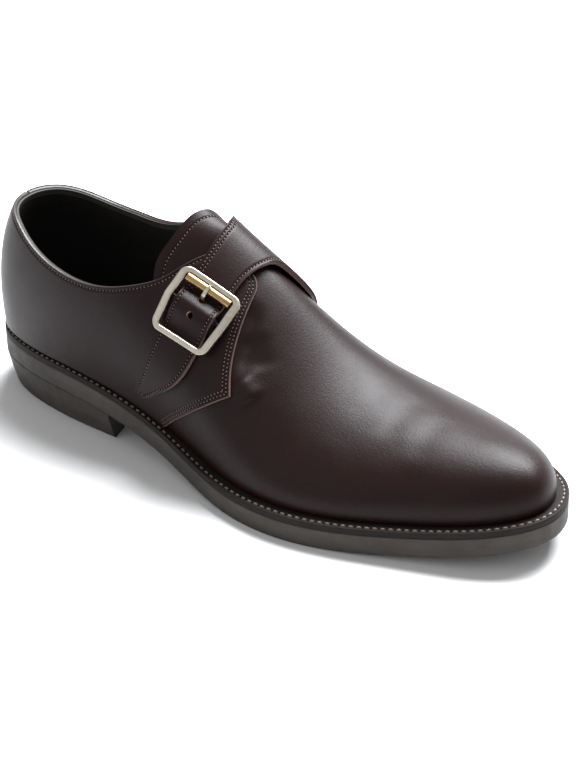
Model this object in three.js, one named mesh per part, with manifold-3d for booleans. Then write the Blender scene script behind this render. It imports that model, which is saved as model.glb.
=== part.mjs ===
// Monk strap shoe for the right foot: outsole, heel, welt, insole, hollow upper, tongue,
// two quarters, strap and buckle. Millimetres, +X to the toe, +Y to the inner side of the foot, +Z up.

import * as THREE from 'three';
import { mergeVertices } from 'three/addons/utils/BufferGeometryUtils.js';
import Module from 'manifold-3d';

const wasm = await Module();
wasm.setup();

// Sizes of the last, measured on the feather line where upper and welt meet
const lastLength = 288;
const ballWidth = 98;
const instepHeight = 79;

// Sizes of the sole
const soleThickness = 9.5;
const soleChamfer = 0.8;
const weltThickness = 3;
const weltChamfer = 0.5;
const weltInside = 8;
const stepForefoot = 5.5;
const stepHeel = 2.5;
const toeSpring = 10.5;
const heelHeight = 17.5;
const heelLength = 80;
const heelTaper = 4;
const heelBreastBow = 5;
const heelChamfer = 0.8;
const insoleThickness = 3;
const insoleInset = 0.4;

// Sizes of the leather pieces
const wall = 2;
const quarterThickness = 1.2;
const strapThickness = 2;
const tongueThickness = 3.2;
const tongueRise = 2.6;
const tongueGap = 1;
const holeDiameter = 3;
const holeSpacing = 8.5;
const holeSides = 12;
const prongHoleInset = 3.2;

// Sizes of the buckle: length runs along the strap, width across it
const buckleLength = 31;
const buckleWidth = 29.5;
const buckleThickness = 2.6;
const railWidth = 3.3;
const railBow = 1.3;
const barrelWidth = 7;
const tipBarWidth = 2.4;
const buckleCorner = 4;
const windowCorner = 1.5;
const railDip = 0.6;
const pinDiameter = 1.6;
const pinOffset = 0;
const loopThickness = 0.8;
const tabWidth = 16;
const tabLength = 6.4;
const prongWidth = 2;
const prongReach = 11.3;

// Distance between pieces that touch, and between curved leather pieces
const gap = 0.3;
const leatherGap = 0.7;

// Levels over the outer face of the upper, and of the buckle's parts over the quarter
const quarterBase = leatherGap;
const quarterFace = quarterBase + quarterThickness;
const strapBase = quarterFace + leatherGap;
const pinLevel = gap + loopThickness + gap + pinDiameter / 2;
const loopTop = pinLevel + pinDiameter / 2 + gap + loopThickness;
const frameLevel = leatherGap + strapThickness + leatherGap + buckleThickness / 2;

// Plan of the last from heel to toe: along is a share of lastLength, and lateral and medial, its half
// widths, and lean, the ridge's shift to the inner side, are shares of ballWidth
const planRows = [
  { along: 0, lateral: 0, medial: 0, lean: 0 },
  { along: 0.03, lateral: 0.205, medial: 0.205, lean: 0 },
  { along: 0.1, lateral: 0.298, medial: 0.305, lean: 0 },
  { along: 0.2, lateral: 0.338, medial: 0.315, lean: 0.02 },
  { along: 0.3, lateral: 0.34, medial: 0.28, lean: 0.06 },
  { along: 0.4, lateral: 0.368, medial: 0.262, lean: 0.083 },
  { along: 0.5, lateral: 0.443, medial: 0.335, lean: 0.095 },
  { along: 0.62, lateral: 0.498, medial: 0.45, lean: 0.095 },
  { along: 0.72, lateral: 0.451, medial: 0.505, lean: 0.072 },
  { along: 0.82, lateral: 0.346, medial: 0.455, lean: 0.052 },
  { along: 0.91, lateral: 0.238, medial: 0.35, lean: 0.032 },
  { along: 0.97, lateral: 0.128, medial: 0.225, lean: 0 },
  { along: 1, lateral: -0.025, medial: 0.025, lean: 0 },
];

// Sections of the last at the same places: ridge is a share of instepHeight, flare the bulge over the
// feather line, and wallRise and crown the fullness of the side and of the top
const sectionRows = [
  { along: 0, ridge: 1.09, flare: 0.1, wallRise: 0.62, crown: 0.72 },
  { along: 0.03, ridge: 1.09, flare: 0.11, wallRise: 0.62, crown: 0.72 },
  { along: 0.1, ridge: 1.115, flare: 0.12, wallRise: 0.62, crown: 0.72 },
  { along: 0.2, ridge: 1.18, flare: 0.14, wallRise: 0.62, crown: 0.72 },
  { along: 0.3, ridge: 1.17, flare: 0.18, wallRise: 0.6, crown: 0.7 },
  { along: 0.4, ridge: 1.025, flare: 0.2, wallRise: 0.56, crown: 0.58 },
  { along: 0.5, ridge: 0.862, flare: 0.14, wallRise: 0.52, crown: 0.51 },
  { along: 0.62, ridge: 0.59, flare: 0.08, wallRise: 0.5, crown: 0.45 },
  { along: 0.72, ridge: 0.445, flare: 0.06, wallRise: 0.55, crown: 0.48 },
  { along: 0.82, ridge: 0.378, flare: 0.05, wallRise: 0.62, crown: 0.53 },
  { along: 0.91, ridge: 0.331, flare: 0.05, wallRise: 0.68, crown: 0.555 },
  { along: 0.97, ridge: 0.315, flare: 0.05, wallRise: 0.7, crown: 0.56 },
  { along: 1, ridge: 0.32, flare: 0.05, wallRise: 0.7, crown: 0.56 },
];

// Collar line of the upper from the back of the heel to the throat, as a share of the way up each side
const collar = [
  { along: 0, lateral: 0.46, medial: 0.46 },
  { along: 0.03, lateral: 0.463, medial: 0.427 },
  { along: 0.066, lateral: 0.435, medial: 0.388 },
  { along: 0.112, lateral: 0.381, medial: 0.343 },
  { along: 0.16, lateral: 0.335, medial: 0.318 },
  { along: 0.215, lateral: 0.313, medial: 0.317 },
  { along: 0.265, lateral: 0.334, medial: 0.37 },
  { along: 0.305, lateral: 0.388, medial: 0.45 },
  { along: 0.338, lateral: 0.46, medial: 0.535 },
  { along: 0.364, lateral: 0.551, medial: 0.64 },
  { along: 0.384, lateral: 0.665, medial: 0.78 },
  { along: 0.4, lateral: 0.76, medial: 0.87 },
  { along: 0.43, lateral: 0.91, medial: 0.955 },
  { along: 0.455, lateral: 1, medial: 1 },
];

// Upper edge of each quarter where it leaves the collar line and runs under the strap or along its root,
// as a share of the way up
const quarterTop = { lateral: 0.865, medial: 0.546 };

// Front edge of each quarter from the welt up, below and above its corner: height is a share of the
// quarter's own height there and along a place along the last
const quarterFront = {
  lateral: {
    below: [
      { height: 0.0, along: 0.395 },
      { height: 0.16, along: 0.447 },
      { height: 0.3, along: 0.487 },
      { height: 0.43, along: 0.521 },
    ],
    above: [
      { height: 0.43, along: 0.521 },
      { height: 0.5, along: 0.51 },
      { height: 0.6, along: 0.5 },
      { height: 0.75, along: 0.491 },
      { height: 0.9, along: 0.485 },
      { height: 0.97, along: 0.479 },
      { height: 1.0, along: 0.472 },
    ],
  },
  medial: {
    below: [
      { height: 0.0, along: 0.42 },
      { height: 0.2, along: 0.448 },
      { height: 0.45, along: 0.49 },
      { height: 0.67, along: 0.526 },
    ],
    above: [
      { height: 0.67, along: 0.526 },
      { height: 0.85, along: 0.521 },
      { height: 1.0, along: 0.519 },
    ],
  },
};

// Strap from its root on the inner side over the instep to its tip on the outer side. around is 0 on
// the ridge, positive on the inner and negative on the outer side; rear and front are places along
// the last of the strap's two edges
const strapRows = [
  { aroundRear: 0.45, rear: 0.35, aroundFront: 0.45, front: 0.519 },
  { aroundRear: 0.41, rear: 0.358, aroundFront: 0.385, front: 0.521 },
  { aroundRear: 0.36, rear: 0.365, aroundFront: 0.32, front: 0.52 },
  { aroundRear: 0.3, rear: 0.373, aroundFront: 0.268, front: 0.514 },
  { aroundRear: 0.24, rear: 0.379, aroundFront: 0.222, front: 0.503 },
  { aroundRear: 0.17, rear: 0.384, aroundFront: 0.17, front: 0.488 },
  { aroundRear: 0.09, rear: 0.389, aroundFront: 0.1, front: 0.476 },
  { aroundRear: 0, rear: 0.394, aroundFront: 0, front: 0.471 },
  { aroundRear: -0.1, rear: 0.397, aroundFront: -0.09, front: 0.467 },
  { aroundRear: -0.2, rear: 0.399, aroundFront: -0.18, front: 0.463 },
  { aroundRear: -0.3, rear: 0.399, aroundFront: -0.26, front: 0.461 },
  { aroundRear: -0.39, rear: 0.397, aroundFront: -0.35, front: 0.46 },
  { aroundRear: -0.48, rear: 0.393, aroundFront: -0.44, front: 0.458 },
  { aroundRear: -0.57, rear: 0.388, aroundFront: -0.53, front: 0.454 },
  { aroundRear: -0.65, rear: 0.382, aroundFront: -0.61, front: 0.449 },
  { aroundRear: -0.73, rear: 0.375, aroundFront: -0.7, front: 0.44 },
  { aroundRear: -0.82, rear: 0.365, aroundFront: -0.79, front: 0.42 },
  { aroundRear: -0.88, rear: 0.355, aroundFront: -0.87, front: 0.39 },
  { aroundRear: -0.913, rear: 0.348, aroundFront: -0.912, front: 0.37 },
];
const rootAround = strapRows[0].aroundRear;
const rootFrom = 0.12;

// Other shares along the last
const springFrom = 0.66;
const waistTo = 0.58;
const springPower = 1.9;
const heelSeatShare = 0.6;
const heelWaistHeight = 0.55;
const heelWaistTaper = 0.4;
const stepFrom = 0.25;
const stepBlend = 0.3;
const endCrowding = 0.45;
const poleHeel = 0.17;
const poleHeelBlend = 0.1;
const poleToe = 0.9;
const poleToeBlend = 0.09;
const tongueTop = 0.348;
const tongueFront = 0.58;
const tongueHalfRear = 0.56;
const tongueHalfFront = 0.42;
const tongueCorner = 0.035;
const tongueOpenTo = 0.425;
const tongueOpenBlend = 0.06;
const tongueOpenHalf = 0.32;
const buckleAlong = 0.4255;
const buckleAround = -0.468;
const buckleTurn = 0.2;

const leather = { color: 0x2a1a17, roughness: 0.35, metalness: 0 };
const rubber = { color: 0x2b2725, roughness: 0.8, metalness: 0 };
const weltLeather = { color: 0x33221b, roughness: 0.6, metalness: 0 };
const lining = { color: 0x1b1817, roughness: 0.75, metalness: 0 };
const nickel = { color: 0xc9c3b4, roughness: 0.3, metalness: 1 };

// Natural cubic through the points (knots[i], values[i])
function spline(knots, values) {
  const n = knots.length;
  const h = knots.slice(1).map((k, i) => k - knots[i]);
  const bend = new Array(n).fill(0);
  const upper = new Array(n).fill(0);
  for (let i = 1; i < n - 1; i++) {
    const slopes = (values[i + 1] - values[i]) / h[i] - (values[i] - values[i - 1]) / h[i - 1];
    const pivot = 2 * (h[i - 1] + h[i]) - h[i - 1] * upper[i - 1];
    upper[i] = h[i] / pivot;
    bend[i] = (6 * slopes - h[i - 1] * bend[i - 1]) / pivot;
  }
  for (let i = n - 2; i > 0; i--) bend[i] -= upper[i] * bend[i + 1];
  return (t) => {
    let i = 0;
    while (i < n - 2 && t >= knots[i + 1]) i++;
    const a = (knots[i + 1] - t) / h[i];
    const b = (t - knots[i]) / h[i];
    const curve = (a ** 3 - a) * bend[i] + (b ** 3 - b) * bend[i + 1];
    return a * values[i] + b * values[i + 1] + (curve * h[i] * h[i]) / 6;
  };
}

const clamp = (t) => Math.min(1, Math.max(0, t));
const smooth = (t) => clamp(t) ** 2 * (3 - 2 * clamp(t));
const mix = (a, b, t) => a + (b - a) * t;
// Steps from 0 to 1 that are closer at both ends
const eased = (t) => t - (endCrowding * Math.sin(2 * Math.PI * t)) / (2 * Math.PI);
const softMin = (a, b, k) => (a + b - Math.hypot(a - b, k)) / 2;
const softMax = (a, b, k) => (a + b + Math.hypot(a - b, k)) / 2;

// A station q runs from 0 at the heel to 1 at the toe, closer spaced at both ends
const stationOf = (along) => Math.acos(1 - 2 * clamp(along)) / Math.PI;
const xOf = (q) => (lastLength * (1 - Math.cos(Math.PI * q))) / 2;
const column = (table, key, name) => spline(table.map(key), table.map((row) => row[name]));
const byStation = (table, name) => column(table, (row) => stationOf(row.along), name);
const columnsOf = (table) =>
  Object.fromEntries(Object.keys(table[0]).map((name) => [name, byStation(table, name)]));
const plan = columnsOf(planRows);
const section = columnsOf(sectionRows);
const collarLine = { lateral: byStation(collar, 'lateral'), medial: byStation(collar, 'medial') };
const throat = stationOf(collar.at(-1).along);

// Way round the last: u is 0 at the heel, 1 at the toe by the outer side and 2 at the heel again by
// the inner side
const wrap = (u) => ((u % 2) + 2) % 2;
function station(u) {
  const w = wrap(u);
  return w <= 1 ? { q: w, side: 'lateral' } : { q: 2 - w, side: 'medial' };
}

// Feather line in plan
function feather(u) {
  const { q, side } = station(u);
  const y = plan[side](q) * ballWidth;
  return new THREE.Vector2(xOf(q), side === 'lateral' ? -y : y);
}

// The same line moved outward
function outline(u, out) {
  const step = 1e-3;
  const along = feather(u + step).sub(feather(u - step)).normalize();
  return feather(u).add(new THREE.Vector2(along.y, -along.x).multiplyScalar(out));
}

// Welt's reach beyond the feather line
const weltStep = (u) => mix(stepHeel, stepForefoot, smooth((station(u).q - stepFrom) / stepBlend));

// Heights over the floor of the outsole's underside, its top and the top of the welt
function underside(x) {
  const toe = Math.max(0, (x / lastLength - springFrom) / (1 - springFrom));
  const seatEnd = (heelSeatShare * heelLength) / lastLength;
  const back = smooth((waistTo - x / lastLength) / (waistTo - seatEnd));
  return toeSpring * toe ** springPower + heelHeight * back;
}
const soleTop = (x) => underside(x) + soleThickness;
const weltTop = (x) => soleTop(x) + weltThickness;

// Outer face of the upper: share is 0 at the feather line and 1 on the ridge, where both sides have
// the same roundness
function rib(u, share) {
  const { q } = station(u);
  const pole = poleHeel * lastLength;
  const spineX = softMin(
    softMax(xOf(q), pole, poleHeelBlend * lastLength),
    poleToe * lastLength,
    poleToeBlend * lastLength,
  );
  const spine = new THREE.Vector2(spineX, plan.lean(stationOf(spineX / lastLength)) * ballWidth);
  const s = 1 - share;
  const half = feather(u).distanceTo(spine);
  const otherHalf = feather(-u).distanceTo(spine);
  const crown = (section.crown(q) * 2 * otherHalf) / (half + otherHalf);
  const reach = s ** 3 + 3 * s * s * share * (1 + section.flare(q)) + 3 * s * share ** 2 * crown;
  const rise = 3 * s * s * share * section.wallRise(q) + 3 * s * share ** 2 + share ** 3;
  const p = spine.clone().lerp(feather(u), reach);
  const height = section.ridge(stationOf(p.x / lastLength)) * instepHeight;
  return new THREE.Vector3(p.x, p.y, weltTop(p.x) + gap + rise * height);
}

// Outward direction on that face
function outward(u, share) {
  const step = 1e-3;
  if (share > 1 - step) {
    const ahead = rib(station(u).q + step, 1);
    const behind = rib(Math.max(0, station(u).q - step), 1);
    return new THREE.Vector3(behind.z - ahead.z, 0, ahead.x - behind.x).normalize();
  }
  const along = rib(u + step, share).sub(rib(u - step, share));
  const up = rib(u, Math.min(1, share + step)).sub(rib(u, Math.max(0, share - step)));
  return along.cross(up).normalize();
}

// Point over the upper's face at a station, a place around it from -1 to 1, and a height over it
function over(q, around, height) {
  const u = around <= 0 ? q : 2 - q;
  const share = 1 - Math.abs(around);
  return rib(u, share).add(outward(u, share).multiplyScalar(height));
}

// Faces of a block of points at(i, j, k), as triangles
function block(ni, nj, nk, at, mirrored = false) {
  const faces = [];
  const quad = (a, b, c, d) => {
    const pairs = mirrored ? [[a, c, b], [a, d, c]] : [[a, b, c], [a, c, d]];
    faces.push(...pairs);
  };
  for (let i = 0; i < ni; i++) {
    for (let j = 0; j < nj; j++) {
      quad(at(i, j, nk), at(i + 1, j, nk), at(i + 1, j + 1, nk), at(i, j + 1, nk));
      quad(at(i, j, 0), at(i, j + 1, 0), at(i + 1, j + 1, 0), at(i + 1, j, 0));
    }
    for (let k = 0; k < nk; k++) {
      quad(at(i, 0, k), at(i + 1, 0, k), at(i + 1, 0, k + 1), at(i, 0, k + 1));
      quad(at(i, nj, k), at(i, nj, k + 1), at(i + 1, nj, k + 1), at(i + 1, nj, k));
    }
  }
  for (let j = 0; j < nj; j++) {
    for (let k = 0; k < nk; k++) {
      quad(at(0, j, k), at(0, j, k + 1), at(0, j + 1, k + 1), at(0, j + 1, k));
      quad(at(ni, j, k), at(ni, j + 1, k), at(ni, j + 1, k + 1), at(ni, j, k + 1));
    }
  }
  return faces;
}

// Closed geometry from triangles: equal points are merged, and faces where two blocks meet are left out
function closed(faces) {
  const places = new Float32Array(faces.flat().flatMap((p) => [p.x, p.y, p.z]));
  const soup = new THREE.BufferGeometry();
  soup.setAttribute('position', new THREE.BufferAttribute(places, 3));
  const merged = mergeVertices(soup, 2e-3);
  const index = merged.index.array;
  const kept = new Map();
  for (let i = 0; i < index.length; i += 3) {
    const face = [index[i], index[i + 1], index[i + 2]];
    if (new Set(face).size < 3) continue;
    const key = [...face].sort((a, b) => a - b).join();
    if (kept.has(key)) kept.delete(key);
    else kept.set(key, face);
  }
  merged.setIndex([...kept.values()].flat());
  return merged;
}

function toManifold(geometry) {
  const vertProperties = new Float32Array(geometry.attributes.position.array);
  const triVerts = new Uint32Array(geometry.index.array);
  return new wasm.Manifold(new wasm.Mesh({ numProp: 3, vertProperties, triVerts }));
}

function fromManifold(solid) {
  const mesh = solid.getMesh();
  const geometry = new THREE.BufferGeometry();
  geometry.setAttribute('position', new THREE.BufferAttribute(mesh.vertProperties, 3));
  geometry.setIndex(new THREE.BufferAttribute(mesh.triVerts, 1));
  return geometry;
}

function volume(geometry) {
  const { position } = geometry.attributes;
  const corner = (i) => new THREE.Vector3().fromBufferAttribute(position, geometry.index.array[i]);
  let sum = 0;
  for (let i = 0; i < geometry.index.count; i += 3) {
    sum += corner(i).dot(corner(i + 1).cross(corner(i + 2)));
  }
  return sum / 6;
}

const shoe = new THREE.Group();
function piece(name, geometry, material) {
  if (volume(geometry) < 0) geometry.index.array.reverse();
  const mesh = new THREE.Mesh(geometry, new THREE.MeshStandardMaterial(material));
  mesh.name = name;
  shoe.add(mesh);
}

const bowPower = 4;

// A slab inside the outline: rows of { out, height } from the underside up, cut off square or with a
// bowed face at the station to
function slab({ rows, to = 1, columns, across = 4, bow = 0 }) {
  const at = (i, j, k) => {
    const q = (to * i) / columns;
    const { out, height } = rows[k];
    const p = outline(q, out(q)).lerp(outline(2 - q, out(2 - q)), j / across);
    const hollow = 1 - (2 * (j / across) - 1) ** 2;
    p.x -= bow * hollow * (i / columns) ** bowPower;
    return new THREE.Vector3(p.x, p.y, height(p.x));
  };
  return closed(block(columns, across, rows.length - 1, at));
}

// A plate over the upper's face: at(i, j) gives station, around, base and thickness
function plate(ni, nj, at) {
  return block(ni, nj, 1, (i, j, k) => {
    const { q, around, base, thickness } = at(i / ni, j / nj);
    return over(q, around, base + k * thickness);
  });
}

// Outsole
const soleColumns = 34;
piece(
  'outsole',
  slab({
    columns: soleColumns,
    rows: [
      { out: (u) => weltStep(u) - soleChamfer, height: underside },
      { out: weltStep, height: (x) => underside(x) + soleChamfer },
      { out: weltStep, height: soleTop },
    ],
  }),
  rubber,
);

// Heel: its top follows the outsole, its foot is flat and its breast is bowed
const heelTop = (x) => underside(x) - gap;
const heelColumns = 16;
piece(
  'heel',
  slab({
    columns: heelColumns,
    to: stationOf(heelLength / lastLength),
    bow: heelBreastBow,
    rows: [
      { out: (u) => weltStep(u) - heelTaper - heelChamfer, height: () => 0 },
      { out: (u) => weltStep(u) - heelTaper, height: () => heelChamfer },
      { out: (u) => weltStep(u) - heelTaper * heelWaistTaper, height: (x) => heelTop(x) * heelWaistHeight },
      { out: weltStep, height: heelTop },
    ],
  }),
  rubber,
);

// Welt: a flat ring between outsole and upper, with a slot in its middle that the insole fills
const weltColumns = 2 * soleColumns;
piece(
  'welt',
  closed(
    block(weltColumns, 2, 1, (i, j, k) => {
      const u = (2 * i) / weltColumns;
      const edge = weltStep(u);
      const out = [-weltInside, edge - weltChamfer, edge][j];
      const p = outline(u, out);
      const top = weltTop(p.x) - (j === 2 ? weltChamfer : 0);
      return new THREE.Vector3(p.x, p.y, k ? top : soleTop(p.x) + gap);
    }),
  ),
  weltLeather,
);

// Insole: a board inside the upper on the welt's inner margin, with its filler inside the welt
const insoleEdge = () => -wall - gap - insoleInset;
const fillerEdge = () => -weltInside - gap;
const insoleBase = (x) => weltTop(x) + gap;
piece(
  'insole',
  slab({
    columns: soleColumns,
    across: 2,
    rows: [
      { out: fillerEdge, height: (x) => soleTop(x) + gap },
      { out: fillerEdge, height: insoleBase },
      { out: insoleEdge, height: insoleBase },
      { out: insoleEdge, height: (x) => insoleBase(x) + insoleThickness },
    ],
  }),
  lining,
);

// Upper: one hollow wall, open at the collar and underneath, closed over the ridge from throat to toe
const upperBack = 22;
const upperFront = 16;
const upperRows = 12;
function upperSide(side) {
  const mirrored = side === 'medial';
  const at = (i, j, k) => {
    const open = i < upperBack;
    const q = open ? throat * eased(i / upperBack) : mix(throat, 1, (i - upperBack) / upperFront);
    const top = open ? collarLine[side](q) : 1;
    const share = (top * j) / upperRows;
    const u = mirrored ? 2 - q : q;
    const p = rib(u, share);
    const direction = outward(u, share);
    if (j === 0) direction.setZ(0).normalize();
    return p.addScaledVector(direction, k ? 0 : -wall);
  };
  return block(upperBack + upperFront, upperRows, 1, at, mirrored);
}
piece('upper', closed([...upperSide('lateral'), ...upperSide('medial')]), leather);

// Tongue: a padded plate inside the throat that rises to the level of the upper behind it
const tongueColumns = 11;
const tongueRows = 16;
piece(
  'tongue',
  closed(
    plate(tongueColumns, tongueRows, (i, j) => {
      const half = mix(tongueHalfRear, tongueHalfFront, i);
      const around = mix(-half, half, j);
      const corner = tongueCorner * Math.abs(2 * j - 1) ** 6;
      const along = mix(tongueTop + corner, tongueFront, i);
      const openAlong = smooth((tongueOpenTo - along) / tongueOpenBlend);
      const openAround = 1 - smooth(Math.abs(around) / tongueOpenHalf);
      const base = -wall - tongueGap - tongueThickness + tongueRise * openAlong * openAround;
      return { q: stationOf(along), around, base, thickness: tongueThickness };
    }),
  ),
  leather,
);

// Quarters: overlays from the seam at the back of the heel to a front edge with a corner
const quarterColumns = 24;
const quarterRows = 12;
const backSeam = 0.004;
const topMargin = 0.985;
const footMargin = 0.01;
function quarter(side) {
  const sign = side === 'lateral' ? -1 : 1;
  const { below, above } = quarterFront[side];
  const corner = above[0].height;
  const cornerRow = Math.round(corner * quarterRows);
  const frontBelow = column(below, (row) => row.height, 'along');
  const frontAbove = column(above, (row) => row.height, 'along');
  return closed(
    plate(quarterColumns, quarterRows, (i, j) => {
      const row = j * quarterRows;
      const low = row <= cornerRow;
      const height = low
        ? (corner * row) / cornerRow
        : mix(corner, 1, (row - cornerRow) / (quarterRows - cornerRow));
      const front = low ? frontBelow(height) : frontAbove(height);
      const q = mix(backSeam, stationOf(front), eased(i));
      const top = Math.min(collarLine[side](q) * topMargin, quarterTop[side]);
      const share = mix(footMargin, top, height);
      return { q, around: sign * (1 - share), base: quarterBase, thickness: quarterThickness };
    }),
  );
}
piece('quarter_lateral', quarter('lateral'), leather);
piece('quarter_medial', quarter('medial'), leather);

// Buckle's own directions on the outer face of the upper: s along the strap to its tip, w across it
// to the toe
const buckleStation = stationOf(buckleAlong);
const buckleAxes = (() => {
  const step = 1e-3;
  const level = quarterFace + frameLevel;
  const at = (dq, da) => over(buckleStation + dq, buckleAround + da, level);
  const perStation = at(step, 0).sub(at(-step, 0)).divideScalar(2 * step);
  const perAround = at(0, step).sub(at(0, -step)).divideScalar(2 * step);
  const normal = outward(buckleStation, 1 + buckleAround);
  const across = perStation.clone().normalize().applyAxisAngle(normal, buckleTurn);
  const along = across.clone().cross(normal);
  const a = perStation.dot(along);
  const b = perAround.dot(along);
  const c = perStation.dot(across);
  const d = perAround.dot(across);
  return { a, b, c, d, det: a * d - b * c };
})();

// Point of the buckle at s, w and a level over the quarter
function onBuckle(s, w, level) {
  const { a, b, c, d, det } = buckleAxes;
  const q = buckleStation + (d * s - b * w) / det;
  const around = buckleAround + (a * w - c * s) / det;
  return over(q, around, quarterFace + level);
}

// Distance along the strap from the buckle's middle to a place on the upper
function alongBuckle(q, around) {
  const { a, b } = buckleAxes;
  return a * (q - buckleStation) + b * (around - buckleAround);
}

// Strap: flush with the inner quarter at its root, then raised, and lifted over the buckle's pin
const barrelEdge = -buckleLength / 2 + barrelWidth;
const tipBarEdge = buckleLength / 2 - tipBarWidth;
function strapLift(s) {
  const before = smooth((s - barrelEdge) / (pinOffset - barrelEdge));
  const after = 1 - smooth((s - pinOffset) / (tipBarEdge - pinOffset));
  return loopTop * (s < pinOffset ? before : after);
}
const strapLengths = 45;
const strapWidths = 5;
const strapKnots = strapRows.map((row, i) => i);
const strapColumn = Object.fromEntries(
  Object.keys(strapRows[0]).map((name) => [name, spline(strapKnots, strapRows.map((row) => row[name]))]),
);
function strapPoint(lengthwise, crosswise) {
  const row = lengthwise * (strapRows.length - 1);
  const around = mix(strapColumn.aroundRear(row), strapColumn.aroundFront(row), crosswise);
  const q = stationOf(mix(strapColumn.rear(row), strapColumn.front(row), crosswise));
  const root = smooth((around - rootFrom) / (rootAround - rootFrom));
  const base = mix(strapBase + strapLift(alongBuckle(q, around)), quarterBase, root);
  return { q, around, base, thickness: mix(strapThickness, quarterThickness, root) };
}
const strapBody = toManifold(closed(plate(strapLengths, strapWidths, strapPoint)));
function strapHole(s) {
  const sides = holeSides;
  const lift = strapLift(s) + gap;
  const rim = (i, level) => {
    const turn = (2 * Math.PI * i) / sides;
    return onBuckle(s + (holeDiameter / 2) * Math.cos(turn), (holeDiameter / 2) * Math.sin(turn), level);
  };
  const low = lift - strapThickness;
  const high = lift + 2 * strapThickness;
  const faces = [];
  for (let i = 0; i < sides; i++) {
    faces.push([rim(i, low), rim(i + 1, low), rim(i + 1, high)]);
    faces.push([rim(i, low), rim(i + 1, high), rim(i, high)]);
    faces.push([onBuckle(s, 0, low), rim(i + 1, low), rim(i, low)]);
    faces.push([onBuckle(s, 0, high), rim(i, high), rim(i + 1, high)]);
  }
  const geometry = closed(faces);
  if (volume(geometry) < 0) geometry.index.array.reverse();
  return toManifold(geometry);
}
const prongHole = barrelEdge + prongHoleInset;
const cutStrap = strapBody.subtract(strapHole(prongHole)).subtract(strapHole(prongHole + holeSpacing));
piece('strap', fromManifold(cutStrap), leather);

// Strip of the buckle along a path in s and level, between two places across
function strip(path, from, to, thickness, wFrom, wTo) {
  return block(to - from, 1, 1, (i, j, k) => {
    const here = path[from + i];
    const before = path[Math.max(0, from + i - 1)];
    const after = path[Math.min(path.length - 1, from + i + 1)];
    const side = new THREE.Vector2(before.y - after.y, after.x - before.x).normalize();
    const p = here.clone().addScaledVector(side, (k - 0.5) * thickness);
    return onBuckle(p.x, j ? wTo : wFrom, p.y);
  });
}

// Way round the pin, from one angle to another
const loopRadius = pinDiameter / 2 + gap + loopThickness / 2;
const roundSteps = 12;
const hookEnd = Math.PI * 1.08;
function roundPin(from, to, steps) {
  return Array.from({ length: steps + 1 }, (_, i) => {
    const angle = mix(from, to, i / steps);
    const round = new THREE.Vector2(Math.cos(angle), Math.sin(angle)).multiplyScalar(loopRadius);
    return round.add(new THREE.Vector2(pinOffset, pinLevel));
  });
}

// Tab: a leather strip on the quarter, folded round the pin with a slot for the prong
const tabLevel = gap + loopThickness / 2;
const foldLevel = tabLevel + loopThickness + gap;
const tabEase = 0.5;
const tabRise = 0.15;
const tabFold = 0.75;
const tabPath = [
  new THREE.Vector2(pinOffset + tabLength, tabLevel),
  new THREE.Vector2(pinOffset + loopRadius + loopThickness / 2 + gap, tabLevel),
  ...roundPin(-Math.PI / 2, -2 * Math.PI, roundSteps),
  new THREE.Vector2(pinOffset + loopRadius + tabEase, foldLevel + tabRise),
  new THREE.Vector2(pinOffset + tabLength * tabFold, foldLevel),
];
const slotHalf = prongWidth / 2 + gap;
piece(
  'buckle_tab',
  closed([
    ...strip(tabPath, 0, tabPath.length - 1, loopThickness, -tabWidth / 2, -slotHalf),
    ...strip(tabPath, 0, 1, loopThickness, -slotHalf, slotHalf),
    ...strip(tabPath, 0, tabPath.length - 1, loopThickness, slotHalf, tabWidth / 2),
  ]),
  leather,
);

// Prong: a hook round the pin, under the strap, up through its hole and onto the barrel
const prongLevel = frameLevel + buckleThickness / 2 + gap + loopThickness / 2;
const prongRise = [
  { along: 2.3, rise: 0.04 },
  { along: 1.1, rise: 0.17 },
  { along: -0.1, rise: 0.4 },
  { along: -1.92, rise: 0.85 },
  { along: -3.8, rise: 1 },
];
const prongPath = [
  ...roundPin(hookEnd, -Math.PI / 2, roundSteps),
  ...prongRise.map((row) => new THREE.Vector2(prongHole + row.along, mix(tabLevel, prongLevel, row.rise))),
  new THREE.Vector2(pinOffset - prongReach - loopRadius, prongLevel),
];
piece(
  'buckle_prong',
  closed(strip(prongPath, 0, prongPath.length - 1, loopThickness, -prongWidth / 2, prongWidth / 2)),
  nickel,
);

// Frame: a rounded window in a rounded rectangle with bowed rails and a broad barrel, and the pin
function rounded(low, high, half, radius, steps) {
  const corners = [[high, half, 0], [low, half, 1], [low, -half, 2], [high, -half, 3]];
  return corners.flatMap(([s, w, turns]) =>
    Array.from({ length: steps + 1 }, (_, i) => {
      const angle = (turns + i / steps) * (Math.PI / 2);
      const inward = new THREE.Vector2(Math.sign((low + high) / 2 - s), -Math.sign(w));
      inward.add(new THREE.Vector2(Math.cos(angle), Math.sin(angle)));
      return new THREE.Vector2(s, w).addScaledVector(inward, radius);
    }),
  );
}
const cornerSteps = 4;
const halfLength = buckleLength / 2;
const halfWidth = buckleWidth / 2;
const outerEdge = rounded(-halfLength, halfLength, halfWidth, buckleCorner, cornerSteps);
const window = rounded(barrelEdge, tipBarEdge, halfWidth - railWidth, windowCorner, cornerSteps);
const flat = 0.3;
const rise = 0.5;
const shoulder = 0.25;
const frameProfile = [
  [0, -flat],
  [0, flat],
  [shoulder, rise],
  [1 - shoulder, rise],
  [1, flat],
  [1, -flat],
  [1 - shoulder, -rise],
  [shoulder, -rise],
];
function framePoint(i, k) {
  const [share, level] = frameProfile[k % frameProfile.length];
  const p = window[i % window.length].clone().lerp(outerEdge[i % outerEdge.length], share);
  const middle = 1 - (p.x / halfLength) ** 2;
  const w = p.y * (1 + (railBow * middle) / halfWidth);
  return onBuckle(p.x, w, frameLevel - railDip * middle + level * buckleThickness);
}
const frameFaces = [];
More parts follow.
